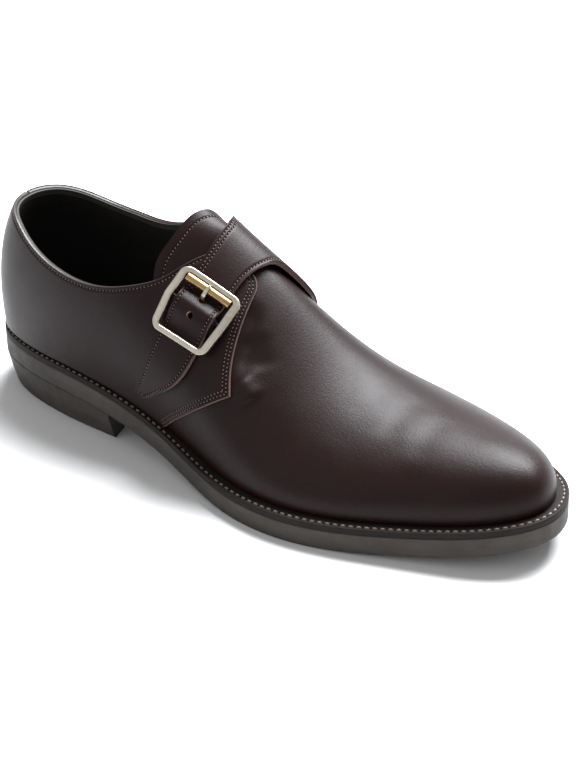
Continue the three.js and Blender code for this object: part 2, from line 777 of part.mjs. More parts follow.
for (let i = 0; i < outerEdge.length; i++) {
  for (let k = 0; k < frameProfile.length; k++) {
    const corner = [framePoint(i, k), framePoint(i + 1, k), framePoint(i + 1, k + 1), framePoint(i, k + 1)];
    frameFaces.push([corner[0], corner[1], corner[2]], [corner[0], corner[2], corner[3]]);
  }
}
const frameRing = closed(frameFaces);
if (volume(frameRing) < 0) frameRing.index.array.reverse();
const pinSides = 8;
const pinHalf = halfWidth - railWidth / 2;
const pinFaces = [];
for (let i = 0; i < pinSides; i++) {
  const rim = (n, w) => {
    const angle = (2 * Math.PI * n) / pinSides;
    const radius = pinDiameter / 2;
    return onBuckle(pinOffset + radius * Math.cos(angle), w, pinLevel + radius * Math.sin(angle));
  };
  const end = (w) => onBuckle(pinOffset, w, pinLevel);
  pinFaces.push([rim(i, -pinHalf), rim(i + 1, -pinHalf), rim(i + 1, pinHalf)]);
  pinFaces.push([rim(i, -pinHalf), rim(i + 1, pinHalf), rim(i, pinHalf)]);
  pinFaces.push([end(-pinHalf), rim(i + 1, -pinHalf), rim(i, -pinHalf)]);
  pinFaces.push([end(pinHalf), rim(i, pinHalf), rim(i + 1, pinHalf)]);
}
const pinGeometry = closed(pinFaces);
if (volume(pinGeometry) < 0) pinGeometry.index.array.reverse();
piece('buckle_frame', fromManifold(toManifold(frameRing).add(toManifold(pinGeometry))), nickel);

// The shoe stands with the middle of its sole over the origin
const box = new THREE.Box3().setFromObject(shoe);
const middle = box.getCenter(new THREE.Vector3());
shoe.position.set(-middle.x, -middle.y, -box.min.z);

export default shoe;
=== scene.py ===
"""Monk strap shoe for the right foot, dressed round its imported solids.

Leather with seams and creases on one last, a sewn welt, a rubber sole and a fastened buckle.
"""

import math

import bmesh
import bpy
import numpy as np
from bpy.props import FloatProperty, FloatVectorProperty, PointerProperty
from mathutils import Matrix, Vector


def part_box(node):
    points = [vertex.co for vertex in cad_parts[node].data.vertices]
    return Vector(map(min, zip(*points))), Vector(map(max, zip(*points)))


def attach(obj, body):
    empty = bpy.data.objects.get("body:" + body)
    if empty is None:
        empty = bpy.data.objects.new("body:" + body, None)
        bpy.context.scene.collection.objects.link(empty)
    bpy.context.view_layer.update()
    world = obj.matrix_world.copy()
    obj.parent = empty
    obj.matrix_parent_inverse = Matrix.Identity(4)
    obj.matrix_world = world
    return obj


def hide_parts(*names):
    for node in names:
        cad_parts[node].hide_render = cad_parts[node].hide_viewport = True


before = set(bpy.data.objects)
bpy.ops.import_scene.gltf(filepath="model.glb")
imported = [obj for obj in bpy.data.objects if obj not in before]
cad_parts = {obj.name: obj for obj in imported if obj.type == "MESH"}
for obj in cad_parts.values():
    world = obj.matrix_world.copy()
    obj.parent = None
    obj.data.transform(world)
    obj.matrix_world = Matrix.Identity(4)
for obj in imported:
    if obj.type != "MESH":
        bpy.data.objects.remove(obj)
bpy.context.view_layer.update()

bl_info = {
    "name": "Monk strap shoe",
    "version": (1, 0, 0),
    "blender": (4, 5, 0),
    "location": "View3D > Sidebar > Shoe",
    "description": "Builds a welted leather shoe with a buckled strap round its solids",
    "category": "Object",
}

MM = 0.001
TURN = 2 * math.pi

# Small steps for slopes over the last and over one of its surfaces
STEP = 1e-3
FINE_STEP = 1e-4

# Half width of the channel that a row of stitches draws into the leather
CHANNEL_HALF = 0.55 * MM


def table(names, rows):
    """Columns of a table by their names."""
    values = np.array(rows, float)
    return {name: values[:, i] for i, name in enumerate(names.split())}


# Plan of the last: half widths and the ridge's shift to the inner side as shares of the ball's width
PLAN_ROWS = table("along lateral medial lean", [
    (0, 0, 0, 0),
    (0.03, 0.205, 0.205, 0),
    (0.1, 0.298, 0.305, 0),
    (0.2, 0.338, 0.315, 0.02),
    (0.3, 0.34, 0.28, 0.06),
    (0.4, 0.368, 0.262, 0.083),
    (0.5, 0.443, 0.335, 0.095),
    (0.62, 0.498, 0.45, 0.095),
    (0.72, 0.451, 0.505, 0.072),
    (0.82, 0.346, 0.455, 0.052),
    (0.91, 0.238, 0.35, 0.032),
    (0.97, 0.128, 0.225, 0),
    (1, -0.025, 0.025, 0),
])

# Sections of the last: ridge as a share of the instep's height, the bulge over the feather line and the
# fullness of the side and of the top
SECTION_ROWS = table("along ridge flare wall_rise crown", [
    (0, 1.09, 0.1, 0.62, 0.72),
    (0.03, 1.09, 0.11, 0.62, 0.72),
    (0.1, 1.115, 0.12, 0.62, 0.72),
    (0.2, 1.18, 0.14, 0.62, 0.72),
    (0.3, 1.17, 0.18, 0.6, 0.7),
    (0.4, 1.025, 0.2, 0.56, 0.58),
    (0.5, 0.862, 0.14, 0.52, 0.51),
    (0.62, 0.59, 0.08, 0.5, 0.45),
    (0.72, 0.445, 0.06, 0.55, 0.48),
    (0.82, 0.378, 0.05, 0.62, 0.53),
    (0.91, 0.331, 0.05, 0.68, 0.555),
    (0.97, 0.315, 0.05, 0.7, 0.56),
    (1, 0.32, 0.05, 0.7, 0.56),
])

# Collar line as a share of the way up each side
COLLAR_ROWS = table("along lateral medial", [
    (0, 0.46, 0.46),
    (0.03, 0.463, 0.427),
    (0.066, 0.435, 0.388),
    (0.112, 0.381, 0.343),
    (0.16, 0.335, 0.318),
    (0.215, 0.313, 0.317),
    (0.265, 0.334, 0.37),
    (0.305, 0.388, 0.45),
    (0.338, 0.46, 0.535),
    (0.364, 0.551, 0.64),
    (0.384, 0.665, 0.78),
    (0.4, 0.76, 0.87),
    (0.43, 0.91, 0.955),
    (0.455, 1, 1),
])

# Front edges of the quarters: height is a share of the quarter's own height
FRONT_ROWS = {
    "lateral": {
        "corner": 0.43,
        "below": table("height along", [(0, 0.395), (0.16, 0.447), (0.3, 0.487), (0.43, 0.521)]),
        "above": table("height along", [
            (0.43, 0.521), (0.5, 0.51), (0.6, 0.5), (0.75, 0.491), (0.9, 0.485), (0.97, 0.479), (1, 0.472),
        ]),
    },
    "medial": {
        "corner": 0.67,
        "below": table("height along", [(0, 0.42), (0.2, 0.448), (0.45, 0.49), (0.67, 0.526)]),
        "above": table("height along", [(0.67, 0.526), (0.85, 0.521), (1, 0.519)]),
    },
}
QUARTER_TOP = {"lateral": 0.865, "medial": 0.546}

# Strap from its root on the inner side over the instep to its tip on the outer side
STRAP_ROWS = table("around_rear rear around_front front", [
    (1 - QUARTER_TOP["medial"], 0.35, 1 - QUARTER_TOP["medial"], 0.519),
    (0.41, 0.358, 0.385, 0.521),
    (0.36, 0.365, 0.32, 0.52),
    (0.3, 0.373, 0.268, 0.514),
    (0.24, 0.379, 0.222, 0.503),
    (0.17, 0.384, 0.17, 0.488),
    (0.09, 0.389, 0.1, 0.476),
    (0, 0.394, 0, 0.471),
    (-0.1, 0.397, -0.09, 0.467),
    (-0.2, 0.399, -0.18, 0.463),
    (-0.3, 0.399, -0.26, 0.461),
    (-0.39, 0.397, -0.35, 0.46),
    (-0.48, 0.393, -0.44, 0.458),
    (-0.57, 0.388, -0.53, 0.454),
    (-0.65, 0.382, -0.61, 0.449),
    (-0.73, 0.375, -0.7, 0.44),
    (-0.82, 0.365, -0.79, 0.42),
    (-0.88, 0.355, -0.87, 0.39),
    (-0.913, 0.348, -0.912, 0.37),
])

# Soft creases of the vamp: a trough or ridge between two places, each a place along the last and
# around it, with its half width and its depth in millimetres
CREASES = table("along_a around_a along_b around_b width depth", [
    (0.757, -0.32, 0.748, 0.08, 6.5, 0.36),
    (0.822, -0.42, 0.822, 0.02, 6.5, 0.3),
    (0.789, -0.34, 0.79, 0.02, 6.0, -0.14),
    (0.734, -0.3, 0.735, 0.05, 6.0, -0.14),
    (0.69, -0.5, 0.7, -0.2, 9.0, 0.12),
    (0.494, -0.24, 0.52, -0.52, 4.0, 1.7),
    (0.511, -0.36, 0.545, -0.44, 5.8, 1.25),
    (0.522, -0.545, 0.556, -0.565, 5.4, -2.2),
])

# Other shares along the last
SPRING_FROM = 0.66
SPRING_POWER = 1.9
WAIST_TO = 0.58
HEEL_SEAT = 0.6
STEP_FROM = 0.25
STEP_BLEND = 0.3
POLE_HEEL = 0.17
POLE_HEEL_BLEND = 0.1
POLE_TOE = 0.9
POLE_TOE_BLEND = 0.09
BUCKLE_ALONG = 0.4255
BUCKLE_AROUND = -0.468
BUCKLE_TURN = 0.2
ROOT_FROM = 0.12
FOOT_MARGIN = 0.01
BACK_SEAM = 0.004


def length(name, millimetres, description):
    """A size given in millimetres, with its name and words."""
    return FloatProperty(
        name=name, description=description, default=millimetres * MM, subtype="DISTANCE", unit="LENGTH"
    )


def colour(name, default, description):
    """A linear colour with its name and words."""
    return FloatVectorProperty(
        name=name, description=description, default=default, size=3, min=0, max=1, subtype="COLOR"
    )


class ShoeSizes(bpy.types.PropertyGroup):
    """Sizes of the last, the sole and the leather pieces."""

    last_length: length("Last length", 288, "Feather line from heel to toe")
    ball_width: length("Ball width", 98, "Width that the plan's shares refer to")
    instep_height: length("Instep height", 79, "Height that the ridge's shares refer to")
    sole_thickness: length("Outsole thickness", 9.5, "Rubber outsole")
    welt_thickness: length("Welt thickness", 3, "Welt over the outsole")
    welt_inside: length("Welt inside", 8, "Welt's reach inside the feather line")
    step_forefoot: length("Forefoot step", 5.5, "Welt's reach outside the feather line in front")
    step_heel: length("Heel step", 2.5, "Welt's reach outside the feather line at the heel")
    toe_spring: length("Toe spring", 10.5, "Height of the toe over the floor")
    heel_height: length("Heel height", 17.5, "Heel block under the outsole")
    heel_length: length("Heel length", 80, "Heel block along the sole")
    heel_taper: length("Heel taper", 4, "How far the heel draws in towards the floor")
    heel_bow: length("Heel breast bow", 5, "Hollow of the heel's front face")
    insole_thickness: length("Insole thickness", 3, "Insole and sock lining")
    wall: length("Upper wall", 2, "Leather and lining of the upper")
    collar_wall: length("Collar wall", 1.1, "Wall at the collar, where the lining is skived")
    quarter_face: length("Quarter face", 1.9, "Outer face of the quarters over the upper")
    strap_base: length("Strap base", 2.6, "Underside of the strap over the upper")
    strap_thickness: length("Strap thickness", 2, "Folded and lined strap")
    tongue_thickness: length("Tongue thickness", 3.2, "Padded tongue")
    tongue_gap: length("Tongue gap", 1, "Space between tongue and upper")


class BuckleSizes(bpy.types.PropertyGroup):
    """Sizes of the buckle, along and across the strap."""

    length: length("Length", 31, "Along the strap")
    width: length("Width", 29.5, "Across the strap")
    thickness: length("Thickness", 2.6, "Height of the frame")
    rail: length("Rail width", 3.3, "Side rails")
    rail_bow: length("Rail bow", 1.3, "Outward bow of the rails")
    band: length("Band width", 2.7, "Bar on the instep's side")
    roller: length("Roller radius", 2.15, "Roller between the rails")
    tip_bar: length("Tip bar width", 2.4, "Bar towards the strap's tip")
    corner: length("Corner", 4, "Radius of the outer corners")
    window_corner: length("Window corner", 1.5, "Radius of the window's corners")
    barrel: length("Barrel width", 7, "Band and roller together")
    pin: length("Pin diameter", 1.6, "Pin that tab and prong turn on")
    pin_offset: length("Pin offset", 0, "Pin from the middle towards the tip")
    loop: length("Loop thickness", 0.8, "Thickness of tab and prong")
    tab_width: length("Tab width", 16, "Tab across the strap")
    tab_spread: length("Tab spread", 2.6, "How far the soft tab spreads on each side between the rails")
    prong_width: length("Prong width", 2, "Prong across the strap")
    prong_reach: length("Prong reach", 11.3, "Prong from the pin to its tip")
    hole: length("Hole diameter", 3, "Holes of the strap")
    hole_spacing: length("Hole spacing", 8.5, "Between two holes")
    hole_inset: length("Hole inset", 3.2, "First hole from the barrel")
    gap: length("Gap", 0.3, "Space between metal parts")


class StitchSizes(bpy.types.PropertyGroup):
    """Sizes of the stitch rows."""

    pitch: length("Pitch", 1.75, "From stitch to stitch on the upper")
    stitch: length("Stitch length", 0.95, "Visible length of one stitch")
    radius: length("Thread radius", 0.27, "Half the thread's width")
    # Needle holes are drawn as near black capsules: painted shade of the hole between two stitches
    hole_radius: length("Needle hole radius", 0.5, "Half the width of the hole between two stitches")
    hole_length: length("Needle hole length", 0.95, "Length of the hole between two stitches")
    inset: length("Inset", 1.4, "First row from the edge")
    row_gap: length("Row gap", 1.6, "Between two rows")
    channel: length("Channel depth", 0.3, "How deep a row is drawn in")
    welt_pitch: length("Welt pitch", 3.5, "From stitch to stitch on the welt")
    welt_stitch: length("Welt stitch", 2.3, "Visible length of one welt stitch")
    welt_radius: length("Welt thread radius", 0.55, "Half the welt thread's width")


class ShoeColours(bpy.types.PropertyGroup):
    """Linear colours of the materials."""

    leather: colour("Leather", (0.0068, 0.0014, 0.0011), "Dark brown upper leather")
    lining: colour("Lining", (0.0062, 0.005, 0.0043), "Lining inside")
    rubber: colour("Rubber", (0.036, 0.0305, 0.0265), "Outsole and heel")
    welt: colour("Welt", (0.0085, 0.0062, 0.0055), "Welt")
    edge: colour("Edge", (0.105, 0.066, 0.058), "Cut edges of strap and quarters")
    rim: colour("Rim", (0.015, 0.0082, 0.0073), "Turned edge along the collar")
    raw_edge: colour("Raw edge", (0.3, 0.16, 0.14), "Bare leather in the strap's holes")
    thread: colour("Thread", (0.095, 0.057, 0.05), "Thread on the upper")
    strip: colour("Lining strip", (0.018, 0.0165, 0.0115), "Strip along the collar's lining")
    # Painted shade: the pin is kept near black so that where it shows between tab and rails it reads as the
    # shade under the strap
    steel: colour("Pin", (0.014, 0.011, 0.009), "Dark pin under the strap")
    welt_thread: colour("Welt thread", (0.13, 0.092, 0.07), "Thread on the welt")
    nickel: colour("Nickel", (0.4, 0.365, 0.305), "Buckle frame")
    brass: colour("Roller", (0.29, 0.187, 0.086), "Roller and prong")
    floor: colour("Floor", (0.62, 0.62, 0.62), "Plain pale floor")


# Curves and the last


def spline(knots, values):
    """Natural cubic through the points: the second derivatives solve a tridiagonal system, and each span is
    the cubic that has them at its ends."""
    n = len(knots)
    h = np.diff(knots)
    slopes = np.diff(values) / h
    system = np.eye(n)
    inner = np.arange(1, n - 1)
    system[inner, inner - 1] = h[:-1]
    system[inner, inner] = 2 * (h[:-1] + h[1:])
    system[inner, inner + 1] = h[1:]
    bends = np.zeros(n)
    bends[1:-1] = 6 * np.diff(slopes)
    second = np.linalg.solve(system, bends)

    def curve(t):
        t = np.asarray(t, float)
        k = np.clip(np.searchsorted(knots, t, side="right") - 1, 0, n - 2)
        a = (knots[k + 1] - t) / h[k]
        b = (t - knots[k]) / h[k]
        bend = (a**3 - a) * second[k] + (b**3 - b) * second[k + 1]
        return a * values[k] + b * values[k + 1] + bend * h[k] ** 2 / 6

    return curve


def station_of(along):
    """Station of a place along the last: half a cosine, closer spaced at heel and toe."""
    return np.arccos(1 - 2 * np.clip(along, 0, 1)) / math.pi


def columns_of(rows):
    """A spline over the stations for each column of a table."""
    stations = station_of(rows["along"])
    return {name: spline(stations, values) for name, values in rows.items() if name != "along"}


plan = columns_of(PLAN_ROWS)
section = columns_of(SECTION_ROWS)
collar = columns_of(COLLAR_ROWS)
THROAT = float(station_of(COLLAR_ROWS["along"][-1]))


def sizes():
    """Sizes of the last, the sole and the leather."""
    return bpy.context.scene.shoe_sizes


def buckle():
    """Sizes of the buckle."""
    return bpy.context.scene.shoe_buckle


def stitch_sizes():
    """Sizes of the stitches."""
    return bpy.context.scene.shoe_stitches


def colours():
    """Colours of the materials."""
    return bpy.context.scene.shoe_colours


def mix(a, b, t):
    """From a to b by a share t."""
    return a + (b - a) * t


def smooth(t):
    """Zero below 0, one above 1, and the cubic 3t² − 2t³ between."""
    t = np.clip(t, 0, 1)
    return t * t * (3 - 2 * t)


def soft_min(a, b, k):
    """The lower of two values, rounded over a width where they meet by the hypotenuse of gap and width."""
    return (a + b - np.hypot(a - b, k)) / 2


def soft_max(a, b, k):
    """The higher of two values, rounded in the same way."""
    return (a + b + np.hypot(a - b, k)) / 2


def unit(v):
    """Vectors at length one."""
    return v / np.maximum(np.linalg.norm(v, axis=-1, keepdims=True), 1e-12)


def x_of(q):
    """Place along the last, in metres, of a station."""
    return sizes().last_length * (1 - np.cos(math.pi * np.asarray(q, float))) / 2


def split(u):
    """Station and outer side's test of a way round the last: 0 heel, 1 toe, 2 heel by the inner side."""
    w = np.mod(u, 2)
    return np.where(w <= 1, w, 2 - w), w <= 1


def feather(u):
    """Feather line in plan: the station's place along, and the side's half width across."""
    q, outer_side = split(u)
    half = np.where(outer_side, -plan["lateral"](q), plan["medial"](q)) * sizes().ball_width
    return np.stack([x_of(q), half], -1)


def outline(u, out):
    """The feather line moved outward along its own normal."""
    along = unit(feather(u + STEP) - feather(u - STEP))
    normal = np.stack([along[..., 1], -along[..., 0]], -1)
    return feather(u) + normal * np.asarray(out)[..., None]


def welt_step(u):
    """Welt's reach over the feather line: from the heel's to the forefoot's by a smooth step."""
    q, _ = split(u)
    return mix(sizes().step_heel, sizes().step_forefoot, smooth((q - STEP_FROM) / STEP_BLEND))


def underside(x):
    """Outsole over the floor: a smooth step down from heel to flat spot, then a power up to the toe."""
    s = sizes()
    share = x / s.last_length
    toe = np.clip((share - SPRING_FROM) / (1 - SPRING_FROM), 0, None)
    seat_end = HEEL_SEAT * s.heel_length / s.last_length
    back = smooth((WAIST_TO - share) / (WAIST_TO - seat_end))
    return s.toe_spring * toe**SPRING_POWER + s.heel_height * back


def sole_top(x):
    """Top of the outsole over the floor."""
    return underside(x) + sizes().sole_thickness


def welt_top(x):
    """Top of the welt over the floor."""
    return sole_top(x) + sizes().welt_thickness


def rib(u, share):
    """Outer face of the upper: cubic curves from the feather line, share 0, to the ridge, share 1, whose
    middle points give the bulge, the side's fullness and the roundness of the top."""
    s = sizes()
    u, share = np.broadcast_arrays(np.asarray(u, float), np.asarray(share, float))
    q, _ = split(u)
    pole = soft_max(x_of(q), POLE_HEEL * s.last_length, POLE_HEEL_BLEND * s.last_length)
    spine_x = soft_min(pole, POLE_TOE * s.last_length, POLE_TOE_BLEND * s.last_length)
    spine = np.stack([spine_x, plan["lean"](station_of(spine_x / s.last_length)) * s.ball_width], -1)
    t = 1 - share
    edge = feather(u)
    half = np.linalg.norm(edge - spine, axis=-1)
    other = np.linalg.norm(feather(-u) - spine, axis=-1)
    crown = section["crown"](q) * 2 * other / (half + other)
    reach = t**3 + 3 * t * t * share * (1 + section["flare"](q)) + 3 * t * share**2 * crown
    rise = 3 * t * t * share * section["wall_rise"](q) + 3 * t * share**2 + share**3
    p = spine + (edge - spine) * reach[..., None]
    height = section["ridge"](station_of(p[..., 0] / s.last_length)) * s.instep_height
    z = welt_top(p[..., 0]) + buckle().gap + rise * height
    return np.concatenate([p, z[..., None]], -1)


def outward(u, share):
    """Outward normal of the last: the cross product of its two slopes, and on the ridge the normal of its
    line in the upright plane."""
    u, share = np.broadcast_arrays(np.asarray(u, float), np.asarray(share, float))
    along = rib(u + STEP, share) - rib(u - STEP, share)
    up = rib(u, np.minimum(1, share + STEP)) - rib(u, np.maximum(0, share - STEP))
    face = unit(np.cross(along, up))
    q, _ = split(u)
    slope = rib(q + STEP, np.ones_like(q)) - rib(np.maximum(0, q - STEP), np.ones_like(q))
    top = unit(np.stack([-slope[..., 2], np.zeros_like(q), slope[..., 0]], -1))
    return np.where((share > 1 - STEP)[..., None], top, face)


def over(q, around, height):
    """Point over the last at a station, a place around it from -1 outer to 1 inner, and a height."""
    q, around = np.broadcast_arrays(np.asarray(q, float), np.asarray(around, float))
    u = np.where(around <= 0, q, 2 - q)
    share = 1 - np.abs(around)
    return rib(u, share) + outward(u, share) * np.asarray(height)[..., None]


# Meshes

# Material slots of a piece of leather: its face, then its cut edge, turned rim and the bare edge of a hole
EDGE_SLOT = 1
RIM_SLOT = 2
RAW_SLOT = 3

# Steps and tolerances of the meshes
LIP_STEPS = 6
GAUSS_STEPS = 4
OUTLINE_SAMPLES = 69
MERGE = 0.01 * MM
TINY_MERGE = 1e-7
CAPSULE_RINGS = 5
CAPSULE_SIDES = 6
CAPSULE_POWER = 4
CAPSULE_END = 0.03


class Sheets:
    """Grids of points gathered into the faces of one mesh."""

    def __init__(self):
        self.points = []
        self.faces = []
        self.slots = []
        self.count = 0

    def grid(self, points, slot=0, closed=False):
        """Quads between the neighbours of a grid of points, closed round its first axis if asked."""
        rows, columns = points.shape[:2]
        index = self.count + np.arange(rows * columns).reshape(rows, columns)
        if closed:
            index = np.concatenate([index, index[:1]])
        quads = np.stack([index[:-1, :-1], index[1:, :-1], index[1:, 1:], index[:-1, 1:]], -1)
        self.add(points.reshape(-1, 3), quads.reshape(-1, 4), slot)

    def add(self, points, faces, slot=0):
        self.points.append(points)
        self.faces.append(faces)
        self.slots.append(np.full(len(faces), slot))
        self.count += len(points)


def middle_of_frame():
    """Where the last's own zero lies in the frame: the outsole's box against its outline's."""
    low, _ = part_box("outsole")
    way = np.linspace(0, 2, OUTLINE_SAMPLES)
    edge = outline(way, welt_step(way))
    return np.array([low.x - edge[:, 0].min(), low.y - edge[:, 1].min(), 0])


def make(name, sheets, finishes, merge=MERGE, sharp=35, replaced=()):
    """One object of the gathered faces, moved into the frame, its doubles merged and its faces outward."""
    mesh = bpy.data.meshes.new(name)
    points = np.concatenate(sheets.points) + middle_of_frame()
    mesh.from_pydata(points.tolist(), [], np.concatenate(sheets.faces).tolist())
    mesh.polygons.foreach_set("material_index", np.concatenate(sheets.slots).astype(np.int32))
    work = bmesh.new()
    work.from_mesh(mesh)
    bmesh.ops.remove_doubles(work, verts=work.verts, dist=merge)
    bmesh.ops.dissolve_degenerate(work, edges=work.edges, dist=merge / 10)
    bmesh.ops.recalc_face_normals(work, faces=work.faces)
    work.to_mesh(mesh)
    work.free()
    mesh.shade_smooth()
    mesh.set_sharp_from_angle(angle=math.radians(sharp))
    for finish in finishes:
        mesh.materials.append(finish_of(finish))
    thing = bpy.data.objects.new(name, mesh)
    bpy.context.scene.collection.objects.link(thing)
    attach(thing, "root")
    if replaced:
        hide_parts(*replaced)
    return thing


def crowded(span, near, count, total):
    """Shares from 0 to 1: a count of short steps at both ends and even ones between, for a real span."""
    edge = near * np.arange(count + 1) / span
    inner = np.linspace(edge[-1], 1 - edge[-1], total - 2 * count + 1)
    return np.concatenate([edge[:-1], inner, (1 - edge[:-1])[::-1]])


def edge_directions(outer, inner):
    """Directions out of a sheet along its closed border: the border's tangent crossed with its thickness."""
    tangent = unit(np.roll(outer, -1, 0) - np.roll(outer, 1, 0))
    thickness = unit(outer - inner)
    return unit(np.cross(tangent, thickness))


def lip(sheets, outer, inner, bulge, steps=LIP_STEPS, slot=0, turn=1):
    """Rounded edge of a sheet: half an ellipse from the outer border to the inner one, its bulge a share of
    half the thickness."""
    out = edge_directions(outer, inner) * turn
    centre = (outer + inner) / 2
    half = (outer - inner) / 2
    angle = np.linspace(0, math.pi, steps + 1)[None, :, None]
    reach = np.linalg.norm(half, axis=-1)[:, None, None] * bulge
    points = centre[:, None] + half[:, None] * np.cos(angle) + out[:, None] * reach * np.sin(angle)
    points[:, 0] = outer
    points[:, -1] = inner
    sheets.grid(points, slot, closed=True)


def loop_of(*parts):
    """Closed border from stretches that share their end points."""
    return np.concatenate([part[:-1] for part in parts])


def edge_slots(grid):
    """Material slots round a grid's border: a cut edge on its last row and a turned rim elsewhere."""
    long_side = np.full(grid.shape[0], RIM_SLOT)
    short_side = np.full(grid.shape[1], RIM_SLOT)
    return np.repeat(loop_of(long_side, 0 * short_side + EDGE_SLOT, long_side, short_side), LIP_STEPS)


def border(grid):
    """Closed border of a grid, round by its four sides."""
    return loop_of(grid[:, 0], grid[-1, :], grid[::-1, -1], grid[0, ::-1])


def distance_to(points, path):
    """Shortest distance from each point to a path's points."""
    flat = points.reshape(-1, 3)
    best = np.full(len(flat), np.inf)
    for chunk in np.array_split(path, max(1, len(path) // 64)):
        gaps = np.linalg.norm(flat[:, None] - chunk[None], axis=-1).min(1)
        best = np.minimum(best, gaps)
    return best.reshape(points.shape[:-1])


def on_surface(surface, targets, q, around):
    """Places on a surface nearest to the targets, by a few Gauss steps on its two parameters."""
    for _ in range(GAUSS_STEPS):
        here = surface(q, around)
        by_q = (surface(q + FINE_STEP, around) - here) / FINE_STEP
        by_around = (surface(q, around + FINE_STEP) - here) / FINE_STEP
        miss = targets - here
        a = (by_q * by_q).sum(-1)
        b = (by_q * by_around).sum(-1)
        c = (by_around * by_around).sum(-1)
        d = (by_q * miss).sum(-1)
        e = (by_around * miss).sum(-1)
        det = a * c - b * b
        q = q + (c * d - b * e) / det
        around = around + (a * e - b * d) / det
    return q, around


def seam(surface, q, around, inside, distance):
    """A row at a distance inside an edge of a surface: the edge moved inward and put back on the surface."""
    edge = surface(q, around)
    nearby = surface(*(value + (other - value) * STEP for value, other in zip((q, around), inside)))
    tangent = unit(np.gradient(edge, axis=0))
    inward = nearby - edge
    inward = unit(inward - tangent * (inward * tangent).sum(-1, keepdims=True))
    return surface(*on_surface(surface, edge + inward * distance, q, around))


def surface_normals(surface, q, around):
    """Normals of a surface: the cross product of its two slopes."""
    by_q = surface(q + FINE_STEP, around) - surface(q - FINE_STEP, around)
    by_around = surface(q, around + FINE_STEP) - surface(q, around - FINE_STEP)
    return unit(np.cross(by_q, by_around))


def way_along(path):
    """Length from a path's start to each of its points."""
    gaps = np.linalg.norm(np.diff(path, axis=0), axis=-1)
    return np.concatenate([[0], np.cumsum(gaps)])


def trimmed(path, start, end):
    """A path without a length at its start and its end."""
    way = way_along(path)
    return path[(way >= start) & (way <= way[-1] - end)]


def spline_path(path, count):
    """Even points on a natural cubic through the points of a path."""
    way = way_along(path)
    at = np.linspace(0, way[-1], count)
    return np.stack([spline(way, column)(at) for column in path.T], -1)


def resample(path, pitch):
    """Points in the middle of even steps along a path, and the directions there."""
    way = way_along(path)

    def place(at):
        return np.stack([np.interp(at, way, column) for column in path.T], -1)

    ends = np.linspace(0, way[-1], max(2, int(round(way[-1] / pitch))) + 1)
    at = (ends[1:] + ends[:-1]) / 2
    return place(at), unit(place(at + pitch / 4) - place(at - pitch / 4))


def squared(value, power):
    """A sine or cosine drawn towards a square by a power, with its sign kept."""
    return np.sign(value) * np.abs(value) ** power


def capsules(sheets, centres, along, up, span, radius, slot=0, arch=0.35, flat=1.0):
    """Short rods with round ends, one at each centre: rings of an ellipse whose size follows a rounded
    square along the rod, drawn down at both ends by the arch. Each end is two quads over its ring."""
    across = unit(np.cross(up, along))
    up = unit(np.cross(along, across))
    t = np.linspace(-1, 1, CAPSULE_RINGS)
    size = np.sqrt(np.clip(1 - np.abs(t) ** CAPSULE_POWER, CAPSULE_END, 1))
    angle = np.arange(CAPSULE_SIDES) * TURN / CAPSULE_SIDES
    rod = t[:, None] * span / 2 + 0 * angle
    side = size[:, None] * np.cos(angle) * radius
    rise = size[:, None] * np.sin(angle) * radius * flat - t[:, None] ** 2 * radius * arch
    template = np.stack([rod, side, rise], -1).reshape(-1, 3)
    axes = np.stack([along, across, up], 1)
    points = centres[:, None] + template @ axes
    ring = np.arange(CAPSULE_SIDES)
    last = (CAPSULE_RINGS - 1) * CAPSULE_SIDES
    a = np.arange(0, last, CAPSULE_SIDES)[:, None] + ring
    b = np.arange(0, last, CAPSULE_SIDES)[:, None] + (ring + 1) % CAPSULE_SIDES
    sides = np.stack([a, a + CAPSULE_SIDES, b + CAPSULE_SIDES, b], -1).reshape(-1, 4)
    end = np.array([[0, 1, 2, 3], [0, 3, 4, 5]])
    quads = np.concatenate([sides, end, end[:, ::-1] + last])
    offsets = sheets.count + np.arange(len(centres))[:, None, None] * len(template)
    sheets.add(points.reshape(-1, 3), (quads[None] + offsets).reshape(-1, 4), slot)


# Materials

NOISE_RANGE = (0.3, 0.7)
# Near black of the needle holes: painted shade, the capsules stand in for the shade inside each hole
NEEDLE_HOLE_PAINTED_SHADE = (0.002, 0.0015, 0.0015)
MATERIALS = {}


def material(name, base, roughness, metallic=0.0, specular=0.5):
    """A node material with one principled shader."""
    made = bpy.data.materials.new(name)
    made.use_nodes = True
    shader = made.node_tree.nodes["Principled BSDF"]
    shader.inputs["Base Color"].default_value = (*base, 1)
    shader.inputs["Roughness"].default_value = roughness
    shader.inputs["Metallic"].default_value = metallic
    shader.inputs["Specular IOR Level"].default_value = specular
    made.diffuse_color = (*base, 1)
    return made, made.node_tree, shader


def noise(tree, scale, detail=3.0, stretch=(1, 1, 1), roughness=0.55):
    """Noise over the piece's own coordinates, in metres, stretched if asked."""
    place = tree.nodes.new("ShaderNodeTexCoord")
    mapping = tree.nodes.new("ShaderNodeMapping")
    mapping.inputs["Scale"].default_value = stretch
    texture = tree.nodes.new("ShaderNodeTexNoise")
    texture.inputs["Scale"].default_value = scale
    texture.inputs["Detail"].default_value = detail
    texture.inputs["Roughness"].default_value = roughness
    tree.links.new(place.outputs["Object"], mapping.inputs["Vector"])
    tree.links.new(mapping.outputs["Vector"], texture.inputs["Vector"])
    return texture.outputs["Fac"]


def mottle(tree, low, high, scale, detail=3.0, stretch=(1, 1, 1)):
    """Noise as a value between two others, reached at the ends of the noise's usual range."""
    node = tree.nodes.new("ShaderNodeMapRange")
    node.inputs["From Min"].default_value, node.inputs["From Max"].default_value = NOISE_RANGE
    node.inputs["To Min"].default_value = low
    node.inputs["To Max"].default_value = high
    tree.links.new(noise(tree, scale, detail, stretch), node.inputs["Value"])
    return node.outputs["Result"]


def shaded(base, factor):
    """A colour made darker or lighter by a factor."""
    return tuple(min(1, c * factor) for c in base)


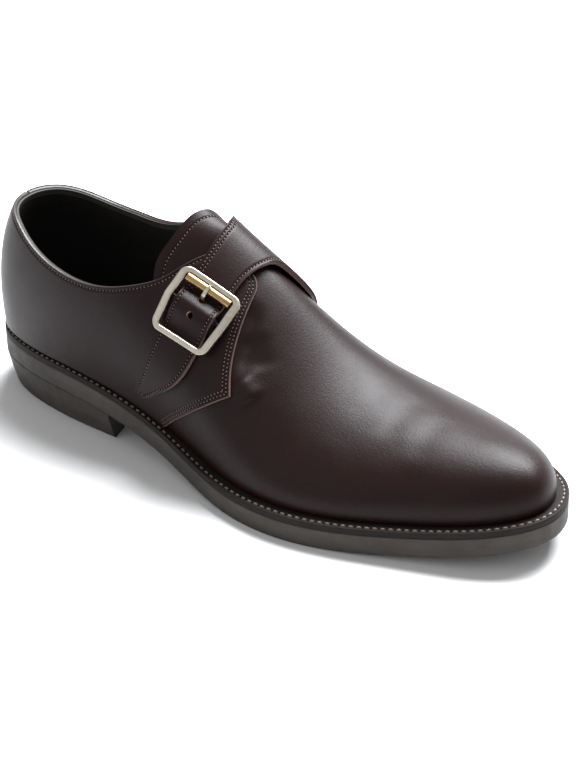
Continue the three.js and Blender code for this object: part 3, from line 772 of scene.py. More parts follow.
def mottled_colour(tree, shader, base, dark, light, scale, detail, stretch=(1, 1, 1)):
    """The base colour, wandering between a darker and a lighter share of itself."""
    node = tree.nodes.new("ShaderNodeMix")
    node.data_type = "RGBA"
    node.inputs["A"].default_value = (*shaded(base, dark), 1)
    node.inputs["B"].default_value = (*shaded(base, light), 1)
    tree.links.new(mottle(tree, 0, 1, scale, detail, stretch), node.inputs["Factor"])
    tree.links.new(node.outputs["Result"], shader.inputs["Base Color"])


def bump(tree, shader, height, distance, normal=None):
    """Height as a bump on the shader, over another one if given."""
    node = tree.nodes.new("ShaderNodeBump")
    node.inputs["Strength"].default_value = 1
    node.inputs["Distance"].default_value = distance
    tree.links.new(height, node.inputs["Height"])
    if normal is not None:
        tree.links.new(normal, node.inputs["Normal"])
    tree.links.new(node.outputs["Normal"], shader.inputs["Normal"])
    return node.outputs["Normal"]


def leather_material(name, base, roughness=0.41, specular=0.145):
    """Polished leather: cloudy colour, fine grain in two sizes, and a gloss that varies a little."""
    made, tree, shader = material(name, base, roughness, specular=specular)
    mottled_colour(tree, shader, base, 0.82, 1.2, scale=22, detail=4)
    tree.links.new(mottle(tree, roughness - 0.03, roughness + 0.04, scale=60), shader.inputs["Roughness"])
    grain = bump(tree, shader, noise(tree, 2600, 2), 0.05 * MM)
    bump(tree, shader, noise(tree, 900, 4, roughness=0.65), 0.08 * MM, normal=grain)
    return made


def lining_material(name, base, specular=0.5):
    """Plain lining leather or cloth: matte with a faint mottling."""
    made, tree, shader = material(name, base, 0.72, specular=specular)
    mottled_colour(tree, shader, base, 0.8, 1.25, scale=120, detail=4)
    bump(tree, shader, noise(tree, 1500, 3), 0.08 * MM)
    return made


def rubber_material(name, base):
    """Matte rubber: mottled, with faint scuffs along the edge and a fine rough surface."""
    made, tree, shader = material(name, base, 0.62, specular=0.25)
    mottled_colour(tree, shader, base, 0.78, 1.25, scale=70, detail=5, stretch=(0.35, 0.35, 1.6))
    tree.links.new(mottle(tree, 0.52, 0.72, scale=160), shader.inputs["Roughness"])
    rough = bump(tree, shader, noise(tree, 1800, 3), 0.08 * MM)
    bump(tree, shader, noise(tree, 500, 3, stretch=(0.2, 0.2, 2.2)), 0.1 * MM, normal=rough)
    return made


def thread_material(name, base):
    """Waxed thread: a soft sheen with fine twist."""
    made, tree, shader = material(name, base, 0.5)
    mottled_colour(tree, shader, base, 0.7, 1.35, scale=1400, detail=2)
    bump(tree, shader, noise(tree, 4000, 2), 0.05 * MM)
    return made


def metal_material(name, base, roughness):
    """Satin metal: fine streaks in its gloss and a faint cloud in its colour."""
    made, tree, shader = material(name, base, roughness, metallic=1.0)
    streaks = mottle(tree, roughness - 0.05, roughness + 0.07, scale=900, stretch=(0.15, 1, 1))
    tree.links.new(streaks, shader.inputs["Roughness"])
    mottled_colour(tree, shader, base, 0.9, 1.08, scale=180, detail=3)
    return made


def finish_of(name):
    """The named material, made once."""
    c = colours()
    makers = {
        "leather": lambda: leather_material("upper_leather", c.leather),
        "strap_leather": lambda: leather_material("strap_leather", shaded(c.leather, 1.05)),
        "edge": lambda: leather_material("leather_edge", c.edge, 0.42),
        "rim": lambda: leather_material("leather_rim", c.rim, 0.36, 0.3),
        "raw_edge": lambda: lining_material("raw_leather_edge", c.raw_edge),
        "strip": lambda: lining_material("lining_strip", c.strip),
        "lining": lambda: lining_material("lining_leather", c.lining, 0.2),
        "welt": lambda: lining_material("welt_leather", c.welt, 0.18),
        # Needle holes: near black capsules, painted shade of the holes between stitches
        "hole": lambda: lining_material("needle_hole_painted_shade", NEEDLE_HOLE_PAINTED_SHADE, 0.05),
        "rubber": lambda: rubber_material("sole_rubber", c.rubber),
        "thread": lambda: thread_material("upper_thread", c.thread),
        "welt_thread": lambda: thread_material("welt_thread", c.welt_thread),
        # Pin: near black metal, painted shade of the space under the strap
        "steel": lambda: metal_material("pin_steel_painted_shade", c.steel, 0.4),
        "nickel": lambda: metal_material("buckle_nickel", c.nickel, 0.36),
        "brass": lambda: metal_material("roller_brass", c.brass, 0.34),
    }
    if name not in MATERIALS:
        MATERIALS[name] = makers[name]()
    return MATERIALS[name]


# Sole

# Angles of a quarter circle, and the steps of a side between two of them
QUARTER_TURN = [math.pi / 2 * i / 4 for i in range(5)]
SIDE_STEPS = 6

# Edges, gaps and shares of outsole, heel, welt and sock lining
SOLE_EDGE = 0.7 * MM
HEEL_EDGE = 0.8 * MM
HEEL_TAPER_POWER = 1.15
HEEL_TOP_CHAMFER = 0.35 * MM
HEEL_GAP = 0.05 * MM
HEEL_SIDE = np.linspace(0.08, 0.95, 14)
HEEL_SIDE_TOP = 0.985
BREAST_POWER = 4
WELT_EDGE = 0.55 * MM
WELT_TUCK = 2 * MM
WELT_ROW = 0.62
WELT_CHANNEL_DEPTH = 0.35 * MM
WELT_CHANNEL_REACH = 1.2
WELT_THREAD_DEPTH = 0.3 * MM
WELT_THREAD_LIFT = 0.12 * MM
# Width of the welt's needle holes, drawn as near black capsules of painted shade
WELT_HOLE_WIDTH = 1.1
WELT_COLUMNS = 900
WELT_ROW_SAMPLES = 1600
SOCK_EDGE = 0.6 * MM
SOCK_GAP = 0.5 * MM


def slab(sheets, rows, columns=220, to=1.0, bow=0.0, across=8):
    """A solid inside the outline: rows of reach and height round it, closed by ribbons over its top and
    underside, and by a bowed face where it is cut off."""
    q = np.linspace(0, to, columns + 1)
    fraction = np.linspace(0, 1, across + 1)
    hollow = 1 - (2 * fraction - 1) ** 2

    def level(row):
        out, height = row
        left = outline(q, out(q))
        right = outline(2 - q, out(2 - q))
        p = left[:, None] + (right - left)[:, None] * fraction[None, :, None]
        p[..., 0] -= bow * hollow[None] * ((q / to) ** BREAST_POWER)[:, None]
        return np.concatenate([p, height(p[..., 0])[..., None]], -1)

    levels = [level(row) for row in rows]
    sheets.grid(levels[0])
    sheets.grid(levels[-1])
    stack = np.stack(levels)
    sheets.grid(stack[:, :, 0])
    sheets.grid(stack[:, :, -1])
    sheets.grid(stack[:, -1, :])


def rounded_side(low, high, reach, radius):
    """Rows of a slab's side between two heights: a quarter circle, an even side and a quarter circle back."""
    arc = [(radius * (math.sin(angle) - 1), radius * (1 - math.cos(angle))) for angle in QUARTER_TURN]

    def row(push, height):
        return (lambda u: reach(u) + push), height

    def between(share):
        return lambda x: mix(low(x) + radius, high(x) - radius, share)

    def over_low(lift):
        return lambda x: low(x) + lift

    def under_high(lift):
        return lambda x: high(x) - lift

    rows = [row(push, over_low(lift)) for push, lift in arc]
    rows += [row(0.0, between(i / SIDE_STEPS)) for i in range(1, SIDE_STEPS)]
    rows += [row(push, under_high(lift)) for push, lift in arc[::-1]]
    return rows


class SHOE_OT_outsole(bpy.types.Operator):
    """Rubber outsole with rounded edges"""

    bl_idname = "shoe.outsole"
    bl_label = "Outsole"

    def execute(self, context):
        sheets = Sheets()
        slab(sheets, rounded_side(underside, sole_top, welt_step, SOLE_EDGE))
        make("outsole_rubber", sheets, ["rubber"], replaced=["outsole"])
        return {"FINISHED"}


class SHOE_OT_heel(bpy.types.Operator):
    """Heel block, drawn in towards the floor and bowed at its breast"""

    bl_idname = "shoe.heel"
    bl_label = "Heel"

    def execute(self, context):
        s = sizes()
        sheets = Sheets()

        def reach(share, push=0.0):
            return lambda u: welt_step(u) - s.heel_taper * (1 - share) ** HEEL_TAPER_POWER - push

        def height(share, lift=0.0):
            return lambda x: (underside(x) - HEEL_GAP) * share + lift

        rows = []
        for angle in QUARTER_TURN:
            push = HEEL_EDGE * (1 - math.sin(angle))
            rows.append((reach(0, push), height(0, HEEL_EDGE * (1 - math.cos(angle)))))
        for share in HEEL_SIDE:
            rows.append((reach(share), height(share)))
        rows.append((reach(HEEL_SIDE_TOP), height(1, -HEEL_TOP_CHAMFER)))
        rows.append((reach(1, HEEL_TOP_CHAMFER), height(1)))
        breast = float(station_of(s.heel_length / s.last_length))
        slab(sheets, rows, columns=110, to=breast, bow=s.heel_bow)
        make("heel_rubber", sheets, ["rubber"], replaced=["heel"])
        return {"FINISHED"}


def welt_row_reach(u):
    """Where the welt's stitches lie: a share of its visible width."""
    return welt_step(u) * WELT_ROW


class SHOE_OT_welt(bpy.types.Operator):
    """Welt with the shallow channel for its row of stitches"""

    bl_idname = "shoe.welt"
    bl_label = "Welt"

    def execute(self, context):
        s = sizes()
        sheets = Sheets()
        u = np.linspace(0, 2, WELT_COLUMNS, endpoint=False)
        inside = -s.welt_inside + 0 * u
        edge = welt_step(u) - WELT_EDGE
        profile = [(inside, 0.0), (edge, 0.0)]
        for angle in QUARTER_TURN:
            profile.append((edge + WELT_EDGE * math.sin(angle), WELT_EDGE * (1 - math.cos(angle))))
        for angle in QUARTER_TURN:
            lift = s.welt_thickness - WELT_EDGE + WELT_EDGE * math.sin(angle)
            profile.append((edge + WELT_EDGE * math.cos(angle), lift))
        for offset in np.linspace(WELT_CHANNEL_REACH, -WELT_CHANNEL_REACH, 9) * MM:
            depth = WELT_CHANNEL_DEPTH * math.exp(-((offset / CHANNEL_HALF) ** 2))
            profile.append((np.minimum(welt_row_reach(u) + offset, edge), s.welt_thickness - depth))
        profile.append((-WELT_TUCK + 0 * u, s.welt_thickness))
        profile.append((inside, s.welt_thickness))
        ring = []
        for out, lift in profile:
            p = outline(u, out)
            ring.append(np.concatenate([p, (sole_top(p[:, 0]) + lift)[:, None]], -1))
        sheets.grid(np.stack(ring + [ring[0]], 1), closed=True)
        make("welt_strip", sheets, ["welt"], replaced=["welt"])
        return {"FINISHED"}


class SHOE_OT_welt_stitches(bpy.types.Operator):
    """Row of thick stitches on the welt, with near black capsules between them as the painted shade of the
    needle holes
    """

    bl_idname = "shoe.welt_stitches"
    bl_label = "Welt stitches"

    def execute(self, context):
        t = stitch_sizes()
        u = np.linspace(0, 2, WELT_ROW_SAMPLES)
        p = outline(u, welt_row_reach(u))
        path = np.concatenate([p, (welt_top(p[:, 0]) - WELT_THREAD_DEPTH)[:, None]], -1)
        centres, along = resample(path, t.welt_pitch)
        up = unit(np.cross(along, np.cross([0.0, 0.0, 1.0], along)))
        up *= np.sign(up[:, 2:])
        sheets = Sheets()
        capsules(sheets, centres + up * WELT_THREAD_LIFT, along, up, t.welt_stitch, t.welt_radius)
        # Near black capsules between the stitches: painted shade of the needle holes
        holes = centres + along * t.welt_pitch / 2
        span = t.welt_pitch - t.welt_stitch
        capsules(sheets, holes, along, up, span, t.welt_radius * WELT_HOLE_WIDTH, slot=1, arch=0, flat=0.35)
        make("welt_stitches", sheets, ["welt_thread", "hole"], merge=TINY_MERGE)
        return {"FINISHED"}


class SHOE_OT_sock(bpy.types.Operator):
    """Insole with its sock lining"""

    bl_idname = "shoe.sock"
    bl_label = "Insole"

    def execute(self, context):
        s = sizes()
        sheets = Sheets()
        gap = buckle().gap

        def filler(u):
            return 0 * u - s.welt_inside - gap

        def reach(u):
            return 0 * u - s.wall - SOCK_GAP

        def base(x):
            return welt_top(x) + gap

        rows = [(filler, lambda x: sole_top(x) + gap), (filler, base)]
        rows += rounded_side(base, lambda x: base(x) + s.insole_thickness, reach, SOCK_EDGE)
        slab(sheets, rows, columns=160, across=12)
        make("sock_lining", sheets, ["lining"], replaced=["insole"])
        return {"FINISHED"}


# Upper

# Creases, walls, overlays and rows of the upper
CREASE_FADE = 0.35
CREASE_START = 0.3
FOOT_FLAT = 0.03
SKIVE_FROM = 0.8
STRIP_ROWS = 2
LINING_LEVEL = -1.25 * MM
LINING_INSET = 2.6 * MM
OVERLAY_GAP = 0.02 * MM
LINING_ROW_FROM = 0.012
LINING_ROW_TO = 0.93
LINING_COARSE = 3
COLLAR_BULGE = 0.7
QUARTER_BULGE = 0.45
ROW_SAMPLES = 400
ROW_END = 1.2 * MM
ROW_TOP_CUT = 0.5 * MM
ROW_FOOT_CUT = 1 * MM
CORNER_CUT = 0.6
NEEDLE_SINK = 0.08 * MM
THREAD_RISE = 0.3

# Middle of the shoe, from which outward is told
MIDDLE_STATION = 0.45
MIDDLE_HEIGHT = 30 * MM
SIDES = {"lateral": -1, "medial": 1}


def creased(points, normals):
    """Points moved along their normals by the creases: each a bell across its line, fading at its ends."""
    moved = np.zeros(points.shape[:-1])
    for along_a, around_a, along_b, around_b, width, depth in zip(*CREASES.values()):
        a = over(station_of(along_a), around_a, 0.0)
        b = over(station_of(along_b), around_b, 0.0)
        axis = b - a
        t = ((points - a) @ axis) / (axis @ axis)
        foot = a + np.clip(t, 0, 1)[..., None] * axis
        distance = np.linalg.norm(points - foot, axis=-1)
        fade = smooth(t / CREASE_FADE + CREASE_START) * smooth((1 - t) / CREASE_FADE + CREASE_START)
        moved -= depth * MM * np.exp(-((distance / (width * MM)) ** 2)) * fade
    return points + normals * moved[..., None]


def upper_side(side, columns_back, columns_front, rows):
    """Outer and inner face of one side of the upper, from the heel to the toe: from the feather line to the
    collar behind the throat, and to the ridge in front of it. The wall is level at the feather line and
    thinner at the collar."""
    s = sizes()
    back = np.linspace(0, THROAT, columns_back + 1)[:-1]
    q = np.concatenate([back, np.linspace(THROAT, 1, columns_front + 1)])
    top = np.where(q < THROAT, collar[side](q), 1.0)
    share = rows[None, :] * top[:, None]
    u = (q if side == "lateral" else 2 - q)[:, None] + 0 * share
    normals = outward(u, share)
    outer = creased(rib(u, share), normals)
    flat = normals.copy()
    flat[..., 2] *= 1 - smooth(1 - share / FOOT_FLAT)
    skived = (q < THROAT)[:, None] * smooth((rows[None, :] - SKIVE_FROM) / (1 - SKIVE_FROM))
    thickness = mix(s.wall, s.collar_wall, skived)
    return q, outer, outer - unit(flat) * thickness[..., None]


def lining_surface(q, around):
    """Face of the lining just under the collar."""
    return over(q, around, LINING_LEVEL + 0 * q)


def lining_row(side):
    """Row of stitches through the lining, a little under the collar."""
    q = np.linspace(LINING_ROW_FROM, THROAT * LINING_ROW_TO, 300)
    around = SIDES[side] * (1 - collar[side](q))
    inside = SIDES[side] * (1 - collar[side](q) * 0.95)
    return seam(lining_surface, q, around, (q, inside), LINING_INSET)


class SHOE_OT_upper(bpy.types.Operator):
    """Vamp, counter and lining: one hollow wall on the last"""

    bl_idname = "shoe.upper"
    bl_label = "Upper"

    def execute(self, context):
        sheets = Sheets()
        collars = []
        for side in SIDES:
            rows = np.linspace(0, 1, 91)
            q, outer, inner = upper_side(side, columns_back=110, columns_front=190, rows=rows)
            sheets.grid(outer)
            coarse = inner[:, ::LINING_COARSE]
            slots = np.full((coarse.shape[0] - 1, coarse.shape[1] - 1), 1)
            slots[q[1:] < THROAT, -STRIP_ROWS:] = 2
            sheets.grid(coarse, slot=slots.ravel())
            sheets.grid(np.stack([outer[:, 0], inner[:, 0]], 1), slot=1)
            throat = int(np.searchsorted(q, THROAT - 1e-9))
            collars.append((outer[: throat + 1, -1], inner[: throat + 1, -1]))
        (outer_left, inner_left), (outer_right, inner_right) = collars
        outer = loop_of(outer_left, outer_right[::-1])
        inner = loop_of(inner_left, inner_right[::-1])
        lip(sheets, outer, inner, COLLAR_BULGE, slot=2)
        finishes = ["leather", "lining", "strip"]
        make("vamp_and_lining", sheets, finishes, sharp=50, replaced=["upper"])
        rows = [lining_row(side) for side in SIDES]
        stitch_rows("collar_lining_stitches", rows, lining_surface, face=-1)
        return {"FINISHED"}


def quarter_place(side, i, height):
    """Station and place around of a quarter at a share of its length and of its height."""
    rows = FRONT_ROWS[side]
    below = spline(rows["below"]["height"], rows["below"]["along"])
    above = spline(rows["above"]["height"], rows["above"]["along"])
    front = np.where(height <= rows["corner"], below(height), above(height))
    q = mix(BACK_SEAM, station_of(front), i)
    top = np.minimum(collar[side](q), QUARTER_TOP[side])
    share = mix(FOOT_MARGIN, top, height)
    return q, SIDES[side] * (1 - share)


def quarter_surface(q, around):
    """Outer face of the quarters."""
    return over(q, around, sizes().quarter_face + 0 * q)


def under_overlay(q, around):
    """Underside of an overlay, just off the upper."""
    return over(q, around, OVERLAY_GAP + 0 * q)


def pressed(points, normals, rows):
    """Points drawn in along the stitch rows: a bell of the channel's depth across each row."""
    away = distance_to(points, np.concatenate(rows)) / CHANNEL_HALF
    depth = stitch_sizes().channel * np.exp(-(away**2))
    return points - normals * depth[..., None]


def quarter_heights(side):
    """Rows of a quarter, crowded at foot and top, with one on its corner."""
    rows = crowded(72 * MM, near=0.5 * MM, count=12, total=76)
    corner = FRONT_ROWS[side]["corner"]
    rows[np.argmin(np.abs(rows - corner))] = corner
    return rows


def quarter_faces(side, i, rows):
    """Outer face of a quarter, drawn in along its rows, and its underside, at shares of its length."""
    i, height = np.meshgrid(i, quarter_heights(side), indexing="ij")
    q, around = quarter_place(side, i, height)
    face = quarter_surface(q, around)
    return pressed(face, unit(face - over(q, around, 0.0 * q)), rows), under_overlay(q, around)


def edge_row(side, i, height, inside_i, inside_height, distance):
    """Row at a distance inside an edge of a quarter, from places on the edge and others a little inside."""
    q, around = quarter_place(side, i, height)
    return seam(quarter_surface, q, around, quarter_place(side, inside_i, inside_height), distance)


def front_rows(side):
    """Two rows down a quarter's front edge, cut off where they meet at the corner and the foot."""
    s = stitch_sizes()
    t = np.linspace(0, 1, ROW_SAMPLES)[::2]
    corner = FRONT_ROWS[side]["corner"]
    rows = []
    for distance in (s.inset, s.inset + s.row_gap):
        cut = distance * CORNER_CUT
        for low, high, start, end in ((corner, 1.0, cut, ROW_TOP_CUT), (0.0, corner, ROW_FOOT_CUT, cut)):
            h = mix(low + 1e-6, high, t)
            row = edge_row(side, np.ones_like(h), h, np.full_like(h, 0.95), h, distance)
            rows.append(trimmed(row, start, end))
    return rows


def top_row(side, until=1.0):
    """Row along a quarter's top edge, from the back seam."""
    t = np.linspace(0, 1, ROW_SAMPLES)
    i = until * t
    row = edge_row(side, i, np.ones_like(t), i, np.full_like(t, 0.9), stitch_sizes().inset)
    return trimmed(row, ROW_END, ROW_END)


class SHOE_OT_outer_quarter(bpy.types.Operator):
    """Outer quarter with its seam rows"""

    bl_idname = "shoe.outer_quarter"
    bl_label = "Outer quarter"

    def execute(self, context):
        rows = [top_row("lateral"), *front_rows("lateral")]
        i = crowded(165 * MM, near=0.5 * MM, count=12, total=170)
        outer, inner = quarter_faces("lateral", i, rows)
        sheets = Sheets()
        sheets.grid(outer)
        sheets.grid(inner)
        lip(sheets, border(outer), border(inner), QUARTER_BULGE, slot=edge_slots(outer))
        finishes = ["leather", "edge", "rim"]
        make("outer_quarter", sheets, finishes, replaced=["quarter_lateral"])
        stitch_rows("outer_quarter_stitches", rows, quarter_surface)
        return {"FINISHED"}


def nearest_normals(surface, points):
    """Normals of a surface nearest to some points on it, taken from a coarse grid of it and turned away from
    the middle of the shoe."""
    q, around = np.meshgrid(np.linspace(0.01, 0.72, 220), np.linspace(-0.99, 0.99, 240), indexing="ij")
    places = surface(q, around).reshape(-1, 3)
    found = np.empty(len(points), int)
    for part in np.array_split(np.arange(len(points)), max(1, len(points) // 50)):
        found[part] = np.linalg.norm(points[part][:, None] - places[None], axis=-1).argmin(1)
    normals = surface_normals(surface, q.ravel()[found], around.ravel()[found])
    middle = np.array([x_of(MIDDLE_STATION), 0.0, MIDDLE_HEIGHT])
    outside = (normals * (points - middle)).sum(-1, keepdims=True) >= 0
    return normals * np.where(outside, 1, -1)


def stitch_rows(name, rows, surface, face=1):
    """Stitches along rows on a surface, each with a near black capsule behind it as the painted shade of its
    needle hole, on its outer or its inner face.
    """
    s = stitch_sizes()
    sheets = Sheets()
    for row in rows:
        centres, along = resample(row, s.pitch)
        up = nearest_normals(surface, centres) * face
        lifted = centres - up * (s.channel - s.radius * THREAD_RISE)
        capsules(sheets, lifted, along, up, s.stitch, s.radius)
        # A near black capsule after each stitch: painted shade of its needle hole
        holes = centres + along * s.pitch / 2 - up * (s.channel - NEEDLE_SINK)
        capsules(sheets, holes, along, up, s.hole_length, s.hole_radius, slot=1, arch=0, flat=0.3)
    make(name, sheets, ["thread", "hole"], merge=TINY_MERGE)


# Strap and buckle

# Strap's underside and tip, the rods that cut its holes, and the buckle's sections and ends
STRAP_SAG = 0.55 * MM
STRAP_MERGE = 0.02 * MM
STRAP_TIP = 0.965
ROOT_CLEAR = 0.004
ROOT_LAP = 0.01
SECOND_ROW_END = 61 * MM
HOLE_SIDES = 32
HOLE_TURN = 0.3
CUTTER_MERGE = 0.005 * MM
CUTTER_LIFT = 0.3 * MM
CUTTER_DOWN = 2.5 * MM
CUTTER_UP = 4 * MM
CLEAN_MERGE = 0.02 * MM
CLEAN_EDGE = 0.01 * MM
FRAME_DIP = 0.6 * MM
FRAME_POWERS = (0.6, 0.4)
CORNER_STEPS = 10
ROD_PLAY = 0.1 * MM
ROD_EASE = 0.5 * MM
PIN_EASE = 0.1 * MM
ROD_MERGE = 0.002 * MM
BAND_POINTS = 120
BAND_POWERS = (0.35, 0.6)
BAND_END = 0.02
BAND_SHOULDER = 0.75
BAND_MERGE = 0.004 * MM
PRONG_THICKER = 1.25
PRONG_START = 1.08 * math.pi
PRONG_NARROWER = 0.35
PRONG_NARROW_FROM = 0.7
TAB_REACH = 6.4 * MM
TAB_FOLD = 0.75
TAB_PUFF = (0.5 * MM, 0.15 * MM)

# Prong through its hole: millimetres along the strap from the hole, and the share of the way up
PRONG_RISE = [(2.3, 0.04), (1.1, 0.17), (-0.1, 0.4), (-1.92, 0.85), (-3.8, 1.0)]


def frame_dip(s):
    """How much lower the frame lies than its ends, at a way along the strap: most in the middle."""
    return FRAME_DIP * (1 - (s / (buckle().length / 2)) ** 2)


def pin_bend():
    """Radius of the tab's and the prong's middle round the pin."""
    b = buckle()
    return b.pin / 2 + b.gap + b.loop / 2


def buckle_axes():
    """How much the buckle's own directions on the quarter change per station and per place around."""
    level = sizes().quarter_face + frame_level()
    q0 = float(station_of(BUCKLE_ALONG))
    ahead, behind = (over(q0 + step, BUCKLE_AROUND, level) for step in (STEP, -STEP))
    inner, outer = (over(q0, BUCKLE_AROUND + step, level) for step in (STEP, -STEP))
    per_station = (ahead - behind) / (2 * STEP)
    per_around = (inner - outer) / (2 * STEP)
    normal = outward(q0, 1 + BUCKLE_AROUND)
    across = np.array(Matrix.Rotation(BUCKLE_TURN, 3, Vector(normal)) @ Vector(unit(per_station)))
    along = np.cross(across, normal)
    return q0, np.array([[per_station @ way, per_around @ way] for way in (along, across)])


def on_buckle(s, w, level):
    """Point of the buckle: s along the strap to its tip, w across to the toe, and a level on the quarter."""
    q0, slopes = buckle_axes()
    s, w, level = np.broadcast_arrays(*(np.asarray(v, float) for v in (s, w, level)))
    shift = np.stack([s, w], -1) @ np.linalg.inv(slopes).T
    return over(q0 + shift[..., 0], BUCKLE_AROUND + shift[..., 1], sizes().quarter_face + level)


def along_buckle(q, around):
    """Way along the strap from the buckle's middle to a place on it."""
    q0, slopes = buckle_axes()
    return slopes[0, 0] * (q - q0) + slopes[0, 1] * (around - BUCKLE_AROUND)


def pin_level():
    """Level of the pin's middle: over the tab's lower layer."""
    b = buckle()
    return b.gap + b.loop + b.gap + b.pin / 2


def frame_level():
    """Level of the frame's middle: over the strap, with a gap of leather on both its faces."""
    s = sizes()
    leather_gap = s.strap_base - s.quarter_face
    return leather_gap + s.strap_thickness + leather_gap + buckle().thickness / 2


def strap_lift(s):
    """Rise of the strap over the pin: a smooth hill between the barrel and the tip bar."""
    b = buckle()
    top = pin_level() + b.pin / 2 + b.gap + b.loop
    barrel_edge = -b.length / 2 + b.barrel
    tip_edge = b.length / 2 - b.tip_bar
    before = smooth((s - barrel_edge) / (b.pin_offset - barrel_edge))
    after = 1 - smooth((s - b.pin_offset) / (tip_edge - b.pin_offset))
    return top * np.where(s < b.pin_offset, before, after)


def root_share(around):
    """How far the strap has come down to the inner quarter that it grows out of."""
    root = 1 - QUARTER_TOP["medial"]
    return smooth((around - ROOT_FROM) / (root - ROOT_FROM))


def strap_top(q, around):
    """Upper face of the strap, level with the inner quarter at its root."""
    s = sizes()
    free = s.strap_base + s.strap_thickness + strap_lift(along_buckle(q, around))
    return over(q, around, mix(free, s.quarter_face, root_share(around)))


def strap_under(q, around):
    """Underside of the strap, a little over what it lies on."""
    s = sizes()
    free = s.strap_base - STRAP_SAG + strap_lift(along_buckle(q, around))
    return over(q, around, mix(free, OVERLAY_GAP, root_share(around)))


def strap_place(lengthwise, crosswise):
    """Station and place around of the strap at a share of its length and of its width."""
    knots = np.arange(len(STRAP_ROWS["rear"]), dtype=float)
    row = lengthwise * (len(knots) - 1)
    column = {name: spline(knots, values)(row) for name, values in STRAP_ROWS.items()}
    around = mix(column["around_rear"], column["around_front"], crosswise)
    return station_of(mix(column["rear"], column["front"], crosswise)), around


def strap_rows():
    """Stitch rows of the strap: two along its rear edge, one along its front edge and one round its tip."""
    s = stitch_sizes()
    t = np.linspace(0, 1, 500)
    c = np.linspace(0, 1, 60)
    rear = (np.zeros_like(t), np.full_like(t, 0.1))
    front = (np.ones_like(t), np.full_like(t, 0.9))

    def row(place, near, distance):
        return seam(strap_top, *strap_place(*place), strap_place(*near), distance)

    return [
        trimmed(row((t, rear[0]), (t, rear[1]), s.inset), 0, s.inset),
        trimmed(row((t, rear[0]), (t, rear[1]), s.inset + s.row_gap), 0, SECOND_ROW_END),
        trimmed(row((t, front[0]), (t, front[1]), s.inset), 0, s.inset),
        trimmed(row((np.ones_like(c), c), (np.full_like(c, 0.98), c), s.inset), s.inset, s.inset),
    ]


class SHOE_OT_strap(bpy.types.Operator):
    """Inner quarter and the strap that grows out of it, with its holes"""

    bl_idname = "shoe.strap"
    bl_label = "Inner quarter and strap"

    def execute(self, context):
        rows = strap_rows()
        crosswise = crowded(26 * MM, near=0.45 * MM, count=12, total=56)
        lengthwise = np.concatenate([np.linspace(0, STRAP_TIP, 250)[:-1], np.linspace(STRAP_TIP, 1, 16)])
        root_q, _ = strap_place(np.zeros_like(crosswise), crosswise)
        front_q = float(station_of(FRONT_ROWS["medial"]["above"]["along"][-1]))
        i_root = (root_q - BACK_SEAM) / (front_q - BACK_SEAM)
        i_back = crowded(1.0, near=0.003, count=12, total=130)
        i_back = i_back[i_back < i_root[0] - ROOT_CLEAR]
        first = len(i_back)
        quarter_seams = [top_row("medial", float(i_root[0]) + ROOT_LAP), *front_rows("medial")]
        outer, inner = quarter_faces("medial", np.concatenate([i_back, i_root]), quarter_seams + rows)
        place = strap_place(*np.meshgrid(lengthwise, crosswise, indexing="ij"))
        strap_outer, strap_inner = strap_top(*place), strap_under(*place)
        strap_outer = pressed(strap_outer, unit(strap_outer - strap_inner), quarter_seams + rows)
        strap_outer[0] = outer[first:, -1]
        strap_inner[0] = inner[first:, -1]
        sheets = Sheets()
        for faces in (outer, inner, strap_outer, strap_inner):
            sheets.grid(faces)

        def edge(quarter, strap):
            return loop_of(
                quarter[:, 0], quarter[-1, :], strap[:, -1], strap[-1, ::-1], strap[::-1, 0],
                quarter[: first + 1, -1][::-1], quarter[0, ::-1],
            )

        quarter_slots = np.full(outer.shape[:2], RIM_SLOT)
        quarter_slots[-1] = EDGE_SLOT
        slots = np.repeat(edge(quarter_slots, np.full(strap_outer.shape[:2], EDGE_SLOT)), LIP_STEPS)
        lip(sheets, edge(outer, strap_outer), edge(inner, strap_inner), QUARTER_BULGE, slot=slots)
        finishes = ["strap_leather", "edge", "rim", "raw_edge"]
        thing = make(
            "inner_quarter_and_strap", sheets, finishes, STRAP_MERGE,
            replaced=["quarter_medial", "strap"],
        )
        cut_holes(thing, finishes)
        stitch_rows("strap_stitches", rows, strap_top)
        stitch_rows("inner_quarter_stitches", quarter_seams, quarter_surface)
        return {"FINISHED"}


def hole_places():
    """Ways along the strap to its two holes, from the buckle's middle."""
    b = buckle()
    first = -b.length / 2 + b.barrel + b.hole_inset
    return [first, first + b.hole_spacing]


def cut_holes(thing, finishes):
    """Round holes through the strap, cut by two rods across it."""
    b = buckle()
    angle = (np.arange(HOLE_SIDES) + HOLE_TURN) * TURN / HOLE_SIDES
    sheets = Sheets()
    for s in hole_places():
        lift = float(strap_lift(s)) + CUTTER_LIFT
        levels = np.array([lift - CUTTER_DOWN, lift + CUTTER_UP])
        ring_s = s + b.hole / 2 * np.cos(angle)[:, None]
        ring = on_buckle(ring_s, b.hole / 2 * np.sin(angle)[:, None], levels[None, :])
        sheets.grid(ring, RAW_SLOT, closed=True)
        for end, level in enumerate(levels):
            middle = np.repeat(on_buckle(s, 0.0, level)[None], HOLE_SIDES, 0)
            sheets.grid(np.stack([middle, ring[:, end]], 1), RAW_SLOT, closed=True)
    cutter = make("hole_cutter", sheets, finishes, CUTTER_MERGE)
    modifier = thing.modifiers.new("holes", "BOOLEAN")
    modifier.operation = "DIFFERENCE"
    modifier.solver = "EXACT"
    modifier.object = cutter
    bpy.context.view_layer.update()
    evaluated = thing.evaluated_get(bpy.context.evaluated_depsgraph_get())
    mesh = bpy.data.meshes.new_from_object(evaluated)
    thing.modifiers.clear()
    thing.data = mesh
    without_slivers(mesh)
    bpy.data.objects.remove(cutter)


